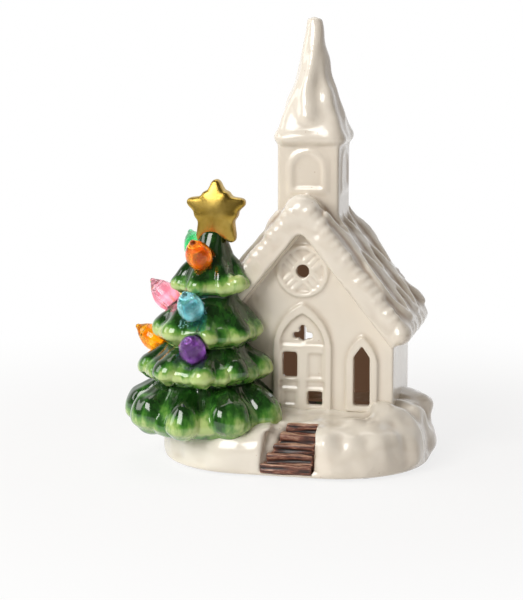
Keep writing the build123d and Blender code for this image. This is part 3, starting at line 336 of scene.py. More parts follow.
# %% Brown painted wood
BROWNS = [
    (0.18, (0.010, 0.003, 0.002)), (0.40, (0.07, 0.020, 0.011)), (0.58, (0.21, 0.073, 0.043)),
    (0.78, (0.58, 0.36, 0.25)),
]
brown_glaze, mix, shader = new_finish("brown_glaze")
streaks = cloud(own_place(mix, (0.12, 1, 1)), 0.9, 4.0, 0.65)
blots = cloud(own_place(mix, (0.35, 1, 1)), 2.6)
# Darker in the grooves and paler on the upward faces of the treads, over the streaks and blots of the grain
lightness = streaks * 1.3 + blots * 0.6 - 0.45 - painted(mix, "hollow") * 0.6 + painted(mix, "tread") * 0.28
feed(
    shader,
    Base_Color=ramp(lightness, BROWNS),
    Roughness=0.34 + streaks * 0.25,
    Coat_Weight=0.2,
    Coat_Roughness=0.08,
    Normal=bump(streaks, 0.25, 0.7),
)

# %% Tinted plastic
BULB_CLEAR = 0.9
BULB_GLOW = 0.55


def tinted_plastic(name, deep, pale):
    """Clear plastic of one colour, a little cloudy inside, with a painted core that glows as painted light."""
    material, mix, shader = new_finish(name)
    flow = cloud(own_place(mix), 4)
    feed(
        shader,
        Base_Color=tint(flow.between(0.35, 0.7), deep, pale),
        Roughness=0.03 + flow * 0.05,
        Transmission_Weight=BULB_CLEAR,
        IOR=1.45,
        # Painted light: the core inside the bulb glows in the pale colour
        Emission_Color=tint(painted(mix, "core"), BLACK, pale),
        Emission_Strength=BULB_GLOW,
        Normal=bump(flow, 0.15, 0.4),
    )
    return material


BULB_COLOURS = {
    "orange": ((0.90, 0.17, 0.01), (1.0, 0.50, 0.05)),
    "green": ((0.10, 0.70, 0.28), (0.25, 0.88, 0.48)),
    "teal": ((0.20, 0.62, 0.70), (0.55, 0.90, 0.92)),
    "pink": ((0.96, 0.40, 0.50), (1.0, 0.68, 0.76)),
    "yellow": ((0.97, 0.76, 0.10), (1.0, 0.90, 0.32)),
    "purple": ((0.26, 0.08, 0.40), (0.58, 0.30, 0.74)),
    "amber": ((0.97, 0.38, 0.01), (1.0, 0.62, 0.05)),
    "red": ((0.86, 0.05, 0.04), (0.97, 0.16, 0.10)),
}
plastics = {name: tinted_plastic(f"{name}_plastic", *pair) for name, pair in BULB_COLOURS.items()}
print(len(plastics), "tinted plastics")

# %% [markdown]
# ## Finishes of the light unit
# Under the base sit moulded plastic, steel, a green board, clear lamps, wires, cells, tape and felt. They are
# small, so one recipe serves nearly all of them: a colour that drifts, a grain of the right size, and its own
# roughness. Only the cells' sleeves have bands, set out along the length of a cell.


# %% Finishes of the light unit
def moulded(name, dark, pale, size, depth, roughness, metallic=0.0, transmission=0.0):
    """A finish with a drifting colour and a grain of a given size and depth in millimetres."""
    material, mix, shader = new_finish(name)
    place = own_place(mix)
    grain = cloud(place, size, 2.0)
    drift = cloud(place, 12 * size)
    feed(
        shader,
        Base_Color=tint(drift.between(0.3, 0.7) * 0.7 + grain * 0.3, dark, pale),
        Roughness=roughness + grain * 0.12,
        Metallic=metallic,
        Transmission_Weight=transmission,
        Normal=bump(grain, depth, 0.6),
    )
    return material


# Each finish: dark, pale, grain size, grain depth, roughness, and then metallic and transmission if any
RECIPES = {
    "cream_plastic": ((0.70, 0.65, 0.55), (0.76, 0.72, 0.62), 0.6, 0.04, 0.42),
    "white_foam": ((0.66, 0.66, 0.64), (0.80, 0.80, 0.78), 0.4, 0.2, 0.85),
    "steel": ((0.42, 0.42, 0.43), (0.56, 0.56, 0.57), 0.3, 0.02, 0.28, 1.0),
    "nickel_steel": ((0.52, 0.49, 0.44), (0.64, 0.61, 0.56), 0.3, 0.02, 0.22, 1.0),
    "black_plastic": ((0.012, 0.012, 0.013), (0.03, 0.03, 0.032), 0.4, 0.04, 0.4),
    "green_board": ((0.01, 0.10, 0.04), (0.02, 0.17, 0.06), 0.8, 0.03, 0.32),
    "led_epoxy": ((0.80, 0.74, 0.60), (0.90, 0.85, 0.72), 1.0, 0.01, 0.08, 0.0, 0.6),
    "wire_jacket": ((0.30, 0.02, 0.02), (0.42, 0.03, 0.03), 0.8, 0.02, 0.38),
    "felt": ((0.42, 0.39, 0.34), (0.60, 0.57, 0.50), 0.25, 0.3, 0.95),
}
unit_finishes = {name: moulded(name, *recipe) for name, recipe in RECIPES.items()}
print(len(unit_finishes), "finishes for the light unit")

# %% Cell sleeve
SLEEVE_BLACK, BAND_COPPER, CAP_METAL = (0.02, 0.02, 0.025), (0.50, 0.22, 0.08), (0.62, 0.61, 0.58)
BAND_EDGE, CAP_EDGE = (0.62, 0.64), (0.93, 0.95)  # shares of half a cell's length
cell_label, mix, shader = new_finish("cell_label")
place = own_place(mix)
along = mix.node("ShaderNodeSeparateXYZ", {"Vector": place}, out="X")
cell_low, cell_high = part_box("battery_1")
half = (cell_high.x - cell_low.x) / 2
reach = (along - (cell_low.x + cell_high.x) / 2).through("ABSOLUTE")
band, cap = [reach.between(half * low, half * high) for low, high in (BAND_EDGE, CAP_EDGE)]
scuff = cloud(place, 1.5)
feed(
    shader,
    Base_Color=tint(cap, tint(band, SLEEVE_BLACK, BAND_COPPER), CAP_METAL),
    Metallic=cap,
    Roughness=0.24 + scuff * 0.16,
    Normal=bump(scuff, 0.03, 0.4),
)
unit_finishes["cell_label"] = cell_label

# %% [markdown]
# ## Soft skins from the solids
# Glazed clay has no crisp edges. Bevels on every edge of the solids would be slow and would not run into each
# other. A voxel remesh of merged copies gives one even skin, a few smoothing passes round every edge, and the
# dense mesh can then be pushed about like clay.

# %% Helpers for skins
JOIN_GAP = 1e-6
EVEN_SHARE = 0.5
scene_objects = bpy.context.scene.collection.objects


def merged(*names):
    """One bmesh of copies of CAD nodes, with their loose triangles joined up."""
    copy = bmesh.new()
    for name in names:
        copy.from_mesh(nodes[name].data)
    bmesh.ops.remove_doubles(copy, verts=copy.verts, dist=JOIN_GAP)
    return copy


def settled(name, shape):
    """The mesh of a bmesh, which is freed."""
    mesh = bpy.data.meshes.new(name)
    shape.to_mesh(mesh)
    shape.free()
    return mesh


def baked(holder):
    """The plain mesh of an object with its modifiers applied; the object itself is removed."""
    graph = bpy.context.evaluated_depsgraph_get()
    mesh = bpy.data.meshes.new_from_object(holder.evaluated_get(graph))
    old = holder.data
    bpy.data.objects.remove(holder)
    bpy.data.meshes.remove(old)
    return mesh


def skin(name, shape, voxel, passes, extras=()):
    """An even, softened skin round a bmesh and some extra meshes; sizes in millimetres."""
    for extra in extras:
        shape.from_mesh(extra)
    holder = bpy.data.objects.new(name, settled(name, shape))
    scene_objects.link(holder)
    remesh = holder.modifiers.new("even skin", "REMESH")
    remesh.mode = "VOXEL"
    remesh.voxel_size = voxel * MM
    remesh.use_smooth_shade = True
    soften = holder.modifiers.new("soften", "SMOOTH")
    soften.factor = EVEN_SHARE
    soften.iterations = passes
    return baked(holder)


print("skin helpers ready")


# %% Helpers for points
def points_of(mesh):
    """A mesh's points in the church's millimetres, and its normals."""
    flat = np.empty(len(mesh.vertices) * 3)
    mesh.vertices.foreach_get("co", flat)
    normals = np.empty(len(mesh.vertices) * 3)
    mesh.vertex_normals.foreach_get("vector", normals)
    return (flat.reshape(-1, 3) - np.array(CHURCH)) / MM, normals.reshape(-1, 3)


def put_points(mesh, points):
    """Writes points in the church's millimetres back into a mesh."""
    mesh.vertices.foreach_set("co", (points * MM + np.array(CHURCH)).ravel())
    mesh.update()


def paint(mesh, name, values):
    """Stores one value for each point under a name that a finish can read."""
    layer = mesh.attributes.new(name, "FLOAT", "POINT")
    layer.data.foreach_set("value", np.clip(values, 0, 1).astype(np.float32))


def lumps(points, size, seed, waves=10):
    """Smooth lumps about a given size across, made of a few crossed waves; mostly within -1 and 1."""
    draw = np.random.default_rng(seed)
    total = np.zeros(len(points))
    for _ in range(waves):
        way = draw.normal(size=3)
        way *= 2 * math.pi / size * draw.uniform(0.6, 1.3) / np.linalg.norm(way)
        total += np.sin(points @ way + draw.uniform(0, 2 * math.pi))
    return total / math.sqrt(waves)


def step_up(values, low, high):
    """0 below one value and 1 above the other, with a smooth step between."""
    share = np.clip((values - low) / (high - low), 0, 1)
    return share * share * (3 - 2 * share)


def hump(values, middle, width):
    """1 at a middle value, falling off smoothly to both sides of it."""
    return np.exp(-(((values - middle) / width) ** 2))


print("point helpers ready")


# %% Helpers for bends and melting
def averager(mesh):
    """A function that gives each point the mean of its neighbours' values."""
    size = len(mesh.vertices)
    edges = np.empty(len(mesh.edges) * 2, dtype=np.int64)
    mesh.edges.foreach_get("vertices", edges)
    first, second = edges.reshape(-1, 2).T
    count = np.bincount(edges, minlength=size).clip(1)

    def nearby(values):
        return (np.bincount(first, values[second], size) + np.bincount(second, values[first], size)) / count

    return nearby


def melt(mesh, share, passes):
    """Evens out a mesh's points over some passes, where a share of 0 to 1 for each point allows it."""
    nearby = averager(mesh)
    points, _ = points_of(mesh)
    for _ in range(passes):
        means = np.stack([nearby(points[:, k]) for k in range(3)], axis=1)
        points += (means - points) * (EVEN_SHARE * share)[:, None]
    put_points(mesh, points)


def bends(mesh, passes):
    """How a mesh bends round each point: above 0 in hollows, below 0 on bulges, evened out by some passes."""
    points, normals = points_of(mesh)
    nearby = averager(mesh)
    bend = sum((nearby(points[:, k]) - points[:, k]) * normals[:, k] for k in range(3))
    for _ in range(passes):
        bend = (bend + nearby(bend)) / 2
    return bend


def hollows(mesh, passes, gain):
    """0 on flats and bulges, up to 1 in creases, where the finishes show pooled glaze and painted shade."""
    return np.clip(bends(mesh, passes) * gain, 0, 1)


print("melting helpers ready")


# %% A helper for pieces
def place_piece(name, mesh, finish, slot_name, *replaced, body="church"):
    """Puts a finished mesh in the scene on its body, in the place of its CAD nodes."""
    mesh.name = name
    mesh.materials.clear()
    mesh.materials.append(finish)
    made = bpy.data.objects.new(name, mesh)
    scene_objects.link(made)
    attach(made, body)
    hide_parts(*replaced)
    print(name, len(mesh.polygons), "faces")
    return made


print("piece helper ready")

# %% [markdown]
# ## Snow that follows lines
# A ruffle of snow and a row of beads run down each gable, a roll lies along the eaves, banks lie at the foot
# of the walls and steps, and wavy strands run down the slopes. They repeat along a line, which is what
# Geometry Nodes are for: one tree sets drops along a line, the other sweeps a round profile along swaying
# curves. Both end as plain meshes that go into the skins of the roof and the base.


# %% Helpers for node trees
def new_tree(name, inputs):
    """A Geometry Nodes tree with named inputs: a dab to build it from, and a dab for each input."""
    tree = bpy.data.node_groups.new(name, "GeometryNodeTree")
    tree.interface.new_socket("Geometry", in_out="OUTPUT", socket_type="NodeSocketGeometry")
    for label, kind in inputs.items():
        tree.interface.new_socket(label, in_out="INPUT", socket_type=f"NodeSocket{kind}")
    group_input = tree.nodes.new("NodeGroupInput")
    return Dab(tree), {label: Dab(tree, group_input.outputs[label]) for label in inputs}


def end_tree(build, geometry, material):
    """Ends a tree in Realize Instances and Set Material."""
    real = build.node("GeometryNodeRealizeInstances", {"Geometry": geometry})
    dressed = build.node("GeometryNodeSetMaterial", {"Geometry": real, "Material": material})
    out = build.tree.nodes.new("NodeGroupOutput")
    plug(out.inputs[0], dressed)
    print(build.tree.name, len(build.tree.nodes), "nodes")


def grown(name, tree, values):
    """The plain mesh that a tree makes from its named inputs."""
    holder = bpy.data.objects.new(name, bpy.data.meshes.new(name))
    modifier = holder.modifiers.new(name, "NODES")
    modifier.node_group = tree
    for item in tree.interface.items_tree:
        if item.item_type == "SOCKET" and item.in_out == "INPUT":
            modifier[item.identifier] = values[item.name]
    scene_objects.link(holder)
    return baked(holder)


print("node tree helpers ready")

# %% A tree for drops along a line
drip, given = new_tree(
    "drops_along_a_line",
    {
        "Start": "Vector", "End": "Vector", "Count": "Int", "Drop": "Vector", "Turn": "Vector",
        "Vary": "Float", "Seed": "Int", "Material": "Material",
    },
)
line = drip.node("GeometryNodeCurvePrimitiveLine", {"Start": given["Start"], "End": given["End"]})
spaced = drip.node("GeometryNodeResampleCurve", {"Curve": line, "Count": given["Count"]})
share = drip.node(
    "FunctionNodeRandomValue",
    {2: 1.0 - given["Vary"], 3: 1.0 + given["Vary"], "Seed": given["Seed"]}, out=1, data_type="FLOAT",
)
scaled = drip.node("ShaderNodeVectorMath", {0: given["Drop"], "Scale": share}, operation="SCALE")
ball = drip.node("GeometryNodeMeshIcoSphere", {"Subdivisions": 2})
dropped = drip.node(
    "GeometryNodeInstanceOnPoints",
    {"Points": spaced, "Instance": ball, "Rotation": given["Turn"], "Scale": scaled},
)
end_tree(drip, dropped, given["Material"])


def drops(name, start, end, count, drop, turn, vary, seed):
    """The mesh of a row of drops between two places; places and sizes in the church's millimetres."""
    return grown(
        name, drip.tree,
        {
            "Start": spot(*start), "End": spot(*end), "Count": count, "Drop": Vector(drop) * MM,
            "Turn": turn, "Vary": vary, "Seed": seed, "Material": white_glaze,
        },
    )


# %% A tree for swaying strands
STRAND_STEPS, TUBE_SIDES = 60, 10
WANDERS = 60.0  # to a metre
strand, given = new_tree(
    "swaying_strands",
    {
        "Strands": "Int", "Pitch": "Float", "Length": "Float", "Wave": "Float", "Sway": "Float",
        "Radius": "Float", "Place": "Vector", "Turn": "Vector", "Phase": "Float", "Material": "Material",
    },
)
first_y = (given["Strands"] - 1.0) * -0.5 * given["Pitch"]
row = strand.node(
    "GeometryNodeMeshLine",
    {
        "Count": given["Strands"],
        "Start Location": strand.node("ShaderNodeCombineXYZ", {"Y": first_y}),
        "Offset": strand.node("ShaderNodeCombineXYZ", {"Y": given["Pitch"]}),
    },
    mode="OFFSET",
)
tail = strand.node("ShaderNodeCombineXYZ", {"X": given["Length"]})
run = strand.node("GeometryNodeCurvePrimitiveLine", {"End": tail})
fine = strand.node("GeometryNodeResampleCurve", {"Curve": run, "Count": STRAND_STEPS})
copies = strand.node("GeometryNodeInstanceOnPoints", {"Points": row, "Instance": fine})
numbered = strand.node(
    "GeometryNodeStoreNamedAttribute",
    {"Geometry": copies, "Name": "strand", "Value": strand.node("GeometryNodeInputIndex")},
    data_type="FLOAT", domain="INSTANCE",
)
real = strand.node("GeometryNodeRealizeInstances", {"Geometry": numbered})
number = strand.node("GeometryNodeInputNamedAttribute", {"Name": "strand"}, data_type="FLOAT")
here = strand.node("GeometryNodeInputPosition")
turn = strand.node("ShaderNodeSeparateXYZ", {0: here}, out="X") / given["Wave"] * (2 * math.pi)
swing = (turn + (number * math.pi + given["Phase"])).through("SINE") * given["Sway"]
wander = strand.node(
    "ShaderNodeTexNoise", {"Vector": here, "W": given["Phase"], "Scale": WANDERS, "Detail": 1.0},
    noise_dimensions="4D",
)
drift = (wander - 0.5) * (given["Sway"] * 0.8)
moved = strand.node("ShaderNodeCombineXYZ", {"Y": swing + drift})
swayed = strand.node("GeometryNodeSetPosition", {"Geometry": real, "Offset": moved})
along = strand.node("GeometryNodeSplineParameter", out="Factor")
taper = (along * math.pi).through("SINE").through("SQRT")
thick = strand.node("GeometryNodeSetCurveRadius", {"Curve": swayed, "Radius": (wander * 0.9 + 0.55) * taper})
ring = strand.node("GeometryNodeCurvePrimitiveCircle", {"Resolution": TUBE_SIDES, "Radius": given["Radius"]})
tube = strand.node("GeometryNodeCurveToMesh", {"Curve": thick, "Profile Curve": ring, "Fill Caps": True})
set_down = strand.node(
    "GeometryNodeTransform", {"Geometry": tube, "Translation": given["Place"], "Rotation": given["Turn"]}
)
end_tree(strand, set_down, given["Material"])

# %% [markdown]
# ## Roof and steeple
# The roof is a thick slab of snow: a lumpy band along each gable, strands down the slopes, and a cap on the
# spire. At both gables a small block rounds the sharp corner under the ridge. Roof, tower and spire share one
# skin, so that the glaze runs from one into the next. It could be sculpted by hand; pushing by measured
# heights and depths keeps each form in its place.

# %% Drips and strands for the roof
PITCH = math.radians(51)
APEX_Z = 122.9
SLOPE_LENGTH = 78.0
GABLE_Y = 31.0
WALL_Y = 23.0
EAVE_DROPS, EAVE_DROP = 13, (4.6, 6.0, 5.2)
STRAND_TOP, STRAND_LIFT, STRAND_WAVE = 15.0, 0.7, 44.0
STRANDS = {
    "Strands": 5, "Pitch": 11.0 * MM, "Length": 60.0 * MM, "Wave": STRAND_WAVE * MM, "Sway": 4.8 * MM,
    "Radius": 1.8 * MM, "Material": white_glaze,
}
roof_extras = []
for side in (1, -1):
    lean = (0, PITCH, 0 if side > 0 else math.pi)
    down_slope = Vector((side * math.cos(PITCH), 0, -math.sin(PITCH)))
    off_slope = Vector((side * math.sin(PITCH), 0, math.cos(PITCH)))
    ridge = Vector((0, 0, APEX_Z))
    eave = ridge + down_slope * (SLOPE_LENGTH - 0.5) - off_slope * 5.0
    ends = [eave + Vector((0, end * (GABLE_Y - 4), 0)) for end in (-1, 1)]
    roof_extras.append(drops("eave_roll", *ends, EAVE_DROPS, EAVE_DROP, lean, 0.12, 40 + side))
    for end in (-1, 1):
        edge = ridge + Vector((0, end * (GABLE_Y - 2.4), 0)) - off_slope * 3.9
        corner = ridge + Vector((0, end * (WALL_Y + 0.2), 0)) - off_slope * 11.4
        # Each row: where its line leaves the ridge, its top and bottom, its drops, their size, how they vary
        rows = {
            "gable_ruffle": (edge, 10, SLOPE_LENGTH - 4, 18, (2.1, 3.0, 4.4), 0.12),
            "soffit_bead": (corner, 9, SLOPE_LENGTH - 9, 40, (2.4, 1.5, 1.5), 0.05),
        }
        for name, (line_start, top, bottom, count, drop, vary) in rows.items():
            ends = [line_start + down_slope * reach for reach in (top, bottom)]
            roof_extras.append(drops(name, *ends, count, drop, lean, vary, 11 + side + 3 * end))
    top = spot(*(ridge + down_slope * STRAND_TOP + off_slope * STRAND_LIFT))
    phase = 2 * math.pi * STRAND_TOP / STRAND_WAVE + (math.pi if side > 0 else 0)
    values = {**STRANDS, "Place": top, "Turn": lean, "Phase": phase}
    roof_extras.append(grown("slope_strands", strand.tree, values))
print(len(roof_extras), "meshes of snow for the roof")

# %% Rounded corners under the ridge
RIDGE_Z = 104.63  # under the slab
CORNER_ROUND = 3.2


def prism(name, outline, low_y, high_y):
    """A closed block with an outline in the church's X and Z, from one Y to another."""
    shape = bmesh.new()
    front = [shape.verts.new(spot(x, low_y, z)) for x, z in outline]
    rear = [shape.verts.new(spot(x, high_y, z)) for x, z in outline]
    shape.faces.new(front)
    shape.faces.new(rear[::-1])
    for k in range(len(outline)):
        n = (k + 1) % len(outline)
        shape.faces.new([front[n], front[k], rear[k], rear[n]])
    bmesh.ops.recalc_face_normals(shape, faces=shape.faces)
    return settled(name, shape)


corner_z = RIDGE_Z - CORNER_ROUND / math.cos(PITCH)
arc = np.linspace(math.pi / 2 - PITCH, math.pi / 2 + PITCH, 13)
rounded = [(CORNER_ROUND * math.cos(a), corner_z + CORNER_ROUND * math.sin(a)) for a in arc]
for end in (-1, 1):
    low_y, high_y = sorted((end * (WALL_Y - 1), end * (GABLE_Y - 0.2)))
    roof_extras.append(prism("inner_corner", [(0, RIDGE_Z + 2)] + rounded[::-1], low_y, high_y))
print(len(roof_extras), "meshes of snow for the roof")

# %% The roof's skin
TOWER_Y = 1.0
STEEPLE_HALF = 17
TOWER_FOOT, TOWER_TOP, CAP_FOOT = (104, 106), (139, 141), (139, 143)
shape = merged("snowy_roof", "steeple_tower", "steeple_spire")
roof = skin("roof_and_steeple", shape, voxel=0.67, passes=7, extras=roof_extras)
points, normals = points_of(roof)
x, y, z = points.T
steeple = (np.abs(x) < STEEPLE_HALF) & (np.abs(y - TOWER_Y) < STEEPLE_HALF)
tower = step_up(z, *TOWER_FOOT) * steeple * (1 - step_up(z, *TOWER_TOP))
cap = step_up(z, *CAP_FOOT) * steeple
slab_depth = (APEX_Z - np.abs(x) * math.tan(PITCH) - z) * math.cos(PITCH)
under = step_up(slab_depth, 9.5, 11) * (z < TOWER_FOOT[0])
snow = (1 - tower) * (1 - under)
down = np.abs(x) / math.cos(PITCH)
slope = (1 - step_up(np.abs(y), 27, 29.5)) * step_up(down, 10, 14) * (1 - step_up(down, 72, 77))
slope *= (slab_depth < 3) * (1 - cap)
# Painted shade between the strands on the slopes, partly pooled glaze
slope_pools_and_shade = slope * (1 - step_up(-slab_depth, 0.1, 1.3))
print(roof.name, len(points), "points")

# %% Lumps on the roof and the spire
# The spire has a fold of snow down its front and back, a lip, a narrower waist at its sides and a blunt tip
SPIRE_FOOT_Z, SPIRE_RISE = 140.5, 56.5
up_spire = (z - SPIRE_FOOT_Z) / SPIRE_RISE
flat_x, flat_y = np.abs(x), np.abs(y - TOWER_Y)
across = x - 1.4 * np.sin(z / 7)
drape = np.clip(1 - (across / (1.5 + 6.5 * np.clip(0.85 - up_spire, 0, 1))) ** 2, 0, 1) * (flat_y > flat_x)
drape *= step_up(up_spire, 0.13, 0.24) * (1 - step_up(up_spire, 0.7, 0.9))
lip = hump(up_spire, 0.06, 0.05) * (1.3 + 0.6 * lumps(points, 9, seed=24))
waist = hump(up_spire, 0.5, 0.22) * np.where(x < 0, 1.1, 0.6) * (flat_x > flat_y)
tip = step_up(up_spire, 0.72, 0.88) * (1 - step_up(normals[:, 2], 0.5, 0.95))
swell = (lumps(points, 15, seed=21) * 0.35 + lumps(points, 6, seed=22) * 0.14) * (1 - cap)
swell += cap * (lumps(points, 12, seed=23) * 0.45 + 1.5 * drape + lip - waist + 0.6 * tip)
swell += 1.7 * hump(x, 0, 10) * hump(np.abs(y), 24, 7) * step_up(z, 106, 112)
points += normals * (swell * snow)[:, None]
put_points(roof, points)
print("roof pushed by up to", round(float(np.abs(swell * snow).max()), 2), "mm")

# %% The roof melted and painted
SLAB = 10
ROOM_X, ROOM_Y = 37.6, 19.6  # half the room under the roof
soft_spire = cap * step_up(up_spire, -0.02, 0.04) * (1 - step_up(up_spire, 0.85, 0.95))
soft_eave = step_up(down, 69, 74) * (slab_depth < SLAB) * (1 - cap)
soft_gable = step_up(np.abs(y), 26, 28) * (slab_depth < SLAB) * (1 - cap)
melt(roof, np.maximum.reduce([soft_spire, slope * 0.35, soft_eave * 0.8, soft_gable * 0.45]), passes=24)
# Pooled glaze and painted shade: tan in creases and between the strands
paint(roof, "hollow", np.maximum(hollows(roof, 5, 12) * (0.35 + 0.4 * snow - 0.3 * cap), slope_pools_and_shade * 0.85))
paint(roof, "snow", snow * step_up(normals[:, 2], -0.2, 0.6))
# Painted shade: the room under the roof takes the dark brown of the inside
paint(roof, "inside", under * (np.abs(x) < ROOM_X) * (np.abs(y) < ROOM_Y))
place_piece(
    "roof_and_steeple", roof, white_glaze, "white_glaze", "snowy_roof", "steeple_tower", "steeple_spire"
)

# %% [markdown]
# ## Walls
# The walls carry the fine relief: door frame, panels, lancet, round window. They get a skin of their own with
# smaller voxels. Their rims are pushed into the roof and the base first, so that softening opens no gap
# there.

# %% The walls' skin
SILL_Z = 22.0
TOUCH = 0.05
INTO_BASE, INTO_ROOF = 1.5, 1.8
shape = merged("church_walls")
for vertex in shape.verts:
    local = (vertex.co - CHURCH) / MM
    to_roof = (RIDGE_Z - abs(local.x) * math.tan(PITCH) - local.z) * math.cos(PITCH)
    if local.z < SILL_Z + TOUCH:
        vertex.co.z -= INTO_BASE * MM
    elif abs(to_roof) < TOUCH:
        vertex.co.z += INTO_ROOF * MM
walls = skin("church_walls_cast", shape, voxel=0.56, passes=6)
points, normals = points_of(walls)
points += normals * (lumps(points, 18, seed=31) * 0.1)[:, None]
put_points(walls, points)
x, y, _ = points.T
# Pooled glaze and painted shade in the creases of the relief
paint(walls, "hollow", hollows(walls, 5, 11) * 0.75)
paint(walls, "snow", np.zeros(len(points)))
# Painted shade: the inside of the walls turns dark brown
paint(walls, "inside", (np.abs(x) < ROOM_X + 1) & (np.abs(y) < ROOM_Y + 1))
place_piece("church_walls_cast", walls, white_glaze, "white_glaze", "church_walls")

# %% [markdown]
# ## Snow base
# An oval drift, lumpy on top and slumped at the front. The solid already has the drifts; the skin melts them
# together, and slow lumps stretched upright give broad soft runs. One drift at the right rear is lowered to
# its height in the photograph, and a last melt evens out the pushes.

# %% Snow banked against the walls
HALF_WIDTH = 41.0
BANK_SPACING = 4
BANK_DROP, STEPS_DROP = (5.0, 3.0, 2.0), (5.5, 3.6, 3.4)
FOOT_LINE = [
    (-12, -WALL_Y), (HALF_WIDTH, -WALL_Y), (HALF_WIDTH, WALL_Y), (-HALF_WIDTH, WALL_Y), (-HALF_WIDTH, -4),
]
banks = []
for number, (start, end) in enumerate(zip(FOOT_LINE, FOOT_LINE[1:])):
    count = int(math.dist(start, end) / BANK_SPACING)
    turn = (0, 0, math.atan2(end[1] - start[1], end[0] - start[0]))
    ends = (*start, SILL_Z), (*end, SILL_Z)
    banks.append(drops("wall_bank", *ends, count, BANK_DROP, turn, 0.2, 80 + number))
steps_low, steps_high = [(corner - CHURCH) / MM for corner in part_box("plank_steps")]
ends = (steps_low.x - 4.0, steps_low.y + 3.4, 5.2), (steps_low.x + 2.6, steps_high.y, 18.0)
banks.append(drops("steps_bank", *ends, 14, STEPS_DROP, (0, 0, 0), 0.15, 86))
print(len(banks), "banks of snow")

# %% The base's skin
UNDER_WALL = 2.0
HOLLOW_X, HOLLOW_Y, HOLLOW_HALF_X, HOLLOW_HALF_Y, HOLLOW_TOP = -3.5, -11.5, 43, 32, 19
shape = merged("snow_base")
for vertex in shape.verts:
    local = (vertex.co - CHURCH) / MM
    if local.z > SILL_Z + TOUCH and abs(local.x) < HALF_WIDTH + TOUCH and abs(local.y) < WALL_Y + 1.6:
        if abs(local.y) > WALL_Y - TOUCH:
            vertex.co.y -= math.copysign(UNDER_WALL * MM, local.y)
        elif abs(local.x) > HALF_WIDTH - TOUCH:
            vertex.co.x -= math.copysign(UNDER_WALL * MM, local.x)
base = skin("snow_base_cast", shape, voxel=0.8, passes=8, extras=banks)
points, normals = points_of(base)
x, y, z = points.T
by_steps = (x > steps_low.x - 8) & (x < steps_high.x + 5) & (y < steps_high.y + 4)
hollow_below = (np.abs(x - HOLLOW_X) < HOLLOW_HALF_X) & (np.abs(y - HOLLOW_Y) < HOLLOW_HALF_Y)
hollow_below &= (z < HOLLOW_TOP) & ~by_steps
outer = step_up(normals[:, 2], -0.6, 0.0) * step_up(z, 1.6, 4.5)
loose = outer * ~hollow_below * ~by_steps
melt(base, loose, passes=26)
print(base.name, len(points), "points")

# %% Runs of snow on the base
# Here x, y and z still are the places before the melt
points, normals = points_of(base)
level = step_up(normals[:, 2], 0.75, 0.95)
smooth_lit_front = (1 - step_up(x, -14, 2)) * (1 - step_up(y, -40, -25))
dimples = lumps(points * np.array([1, 1, 0.35]), 10, seed=52) * 0.8 + lumps(points, 6, seed=53) * 0.12
swell = lumps(points * np.array([1, 1, 0.6]), 18, seed=51) * 0.7
swell += dimples * (1 - 0.85 * level) * (1 - 0.8 * smooth_lit_front)
points += normals * (swell * outer * ~hollow_below)[:, None]
points[:, 2] -= np.clip(z - SILL_Z, 0, None) * 0.5 * step_up(x, 37, 41) * step_up(y, -16, 0)
put_points(base, points)
melt(base, loose, passes=8)
# Pooled glaze and painted shade in the creases of the drifts
paint(base, "hollow", hollows(base, 6, 9) * outer)
# Painted highlight: the smooth front left takes the paler snow colour all over, where the key light falls
paint(base, "snow", outer * np.maximum(step_up(normals[:, 2], 0.0, 0.7), smooth_lit_front))
# Painted shade: the hollow under the base turns dark brown
paint(base, "inside", hollow_below & (z > 5))
place_piece("snow_base_cast", base, white_glaze, "white_glaze", "snow_base")

# %% [markdown]
# ## Steps
# Five brown steps, cut as boards and painted. The flight gets a fine skin, and stretched noise along the
# boards cuts the grain, so the streaks are real grooves and not only paint.

# %% The steps' skin
GRAIN_STRETCH, FLAKE_STRETCH = np.array([0.1, 1, 1]), np.array([0.25, 1, 1])
steps = skin("plank_steps_cut", merged("plank_steps"), voxel=0.34, passes=2)
points, normals = points_of(steps)
grain = lumps(points * GRAIN_STRETCH, 1.7, seed=61, waves=14) * 0.2
grain += lumps(points * FLAKE_STRETCH, 4, seed=62) * 0.22
points += normals * (grain * step_up(points[:, 2], 1.2, 2.2))[:, None]
put_points(steps, points)
# Darker where the boards have grooves, paler where they face up
paint(steps, "hollow", hollows(steps, 4, 22))
paint(steps, "tread", step_up(normals[:, 2], 0.25, 0.75))
place_piece("plank_steps_cut", steps, brown_glaze, "brown_glaze", "plank_steps")

# %% [markdown]
# ## Tree
# Four skirts of drooping lobes. The skin melts the lobes together and swells them above their rims; its
# points remember how near they are to a rim, where the glaze breaks pale, and carry painted light and shade
# that dims the pale rim in folds and where a skirt faces down. Fine pleats mark the bottom skirt, the upper
# three are tucked in at the right as in the photograph, and the pale nub on the top one is pushed out.

# %% The tree's skin
TREE_X, TREE_Y, TREE_LEAN = -43, -32, 0.052
SKIRT_LAP, SKIRT_ROOM = 1.2, 4.0
# Each skirt from the top: bottom, rim height, neck height, neck radius, tuck at the right, paleness
SKIRTS = [
    (76.4, 6.5, 102.5, 6.0, 1.6, 1.04), (54.6, 8.5, 81, 9.5, 1.8, 1.04), (38, 8, 60, 12.5, 3.6, 1.04),
    (17, 11, 43, 17.0, 0.0, 0.98),
]
tree = skin("glazed_tree", merged("tree"), voxel=0.66, passes=6)
points, normals = points_of(tree)
x, y, z = points.T
axis_x = TREE_X + TREE_LEAN * z
reach = np.hypot(x - axis_x, y - TREE_Y)
bearing = np.arctan2(y - TREE_Y, x - axis_x)
bulge = np.clip(-bends(tree, 24) * 22, -1, 1)
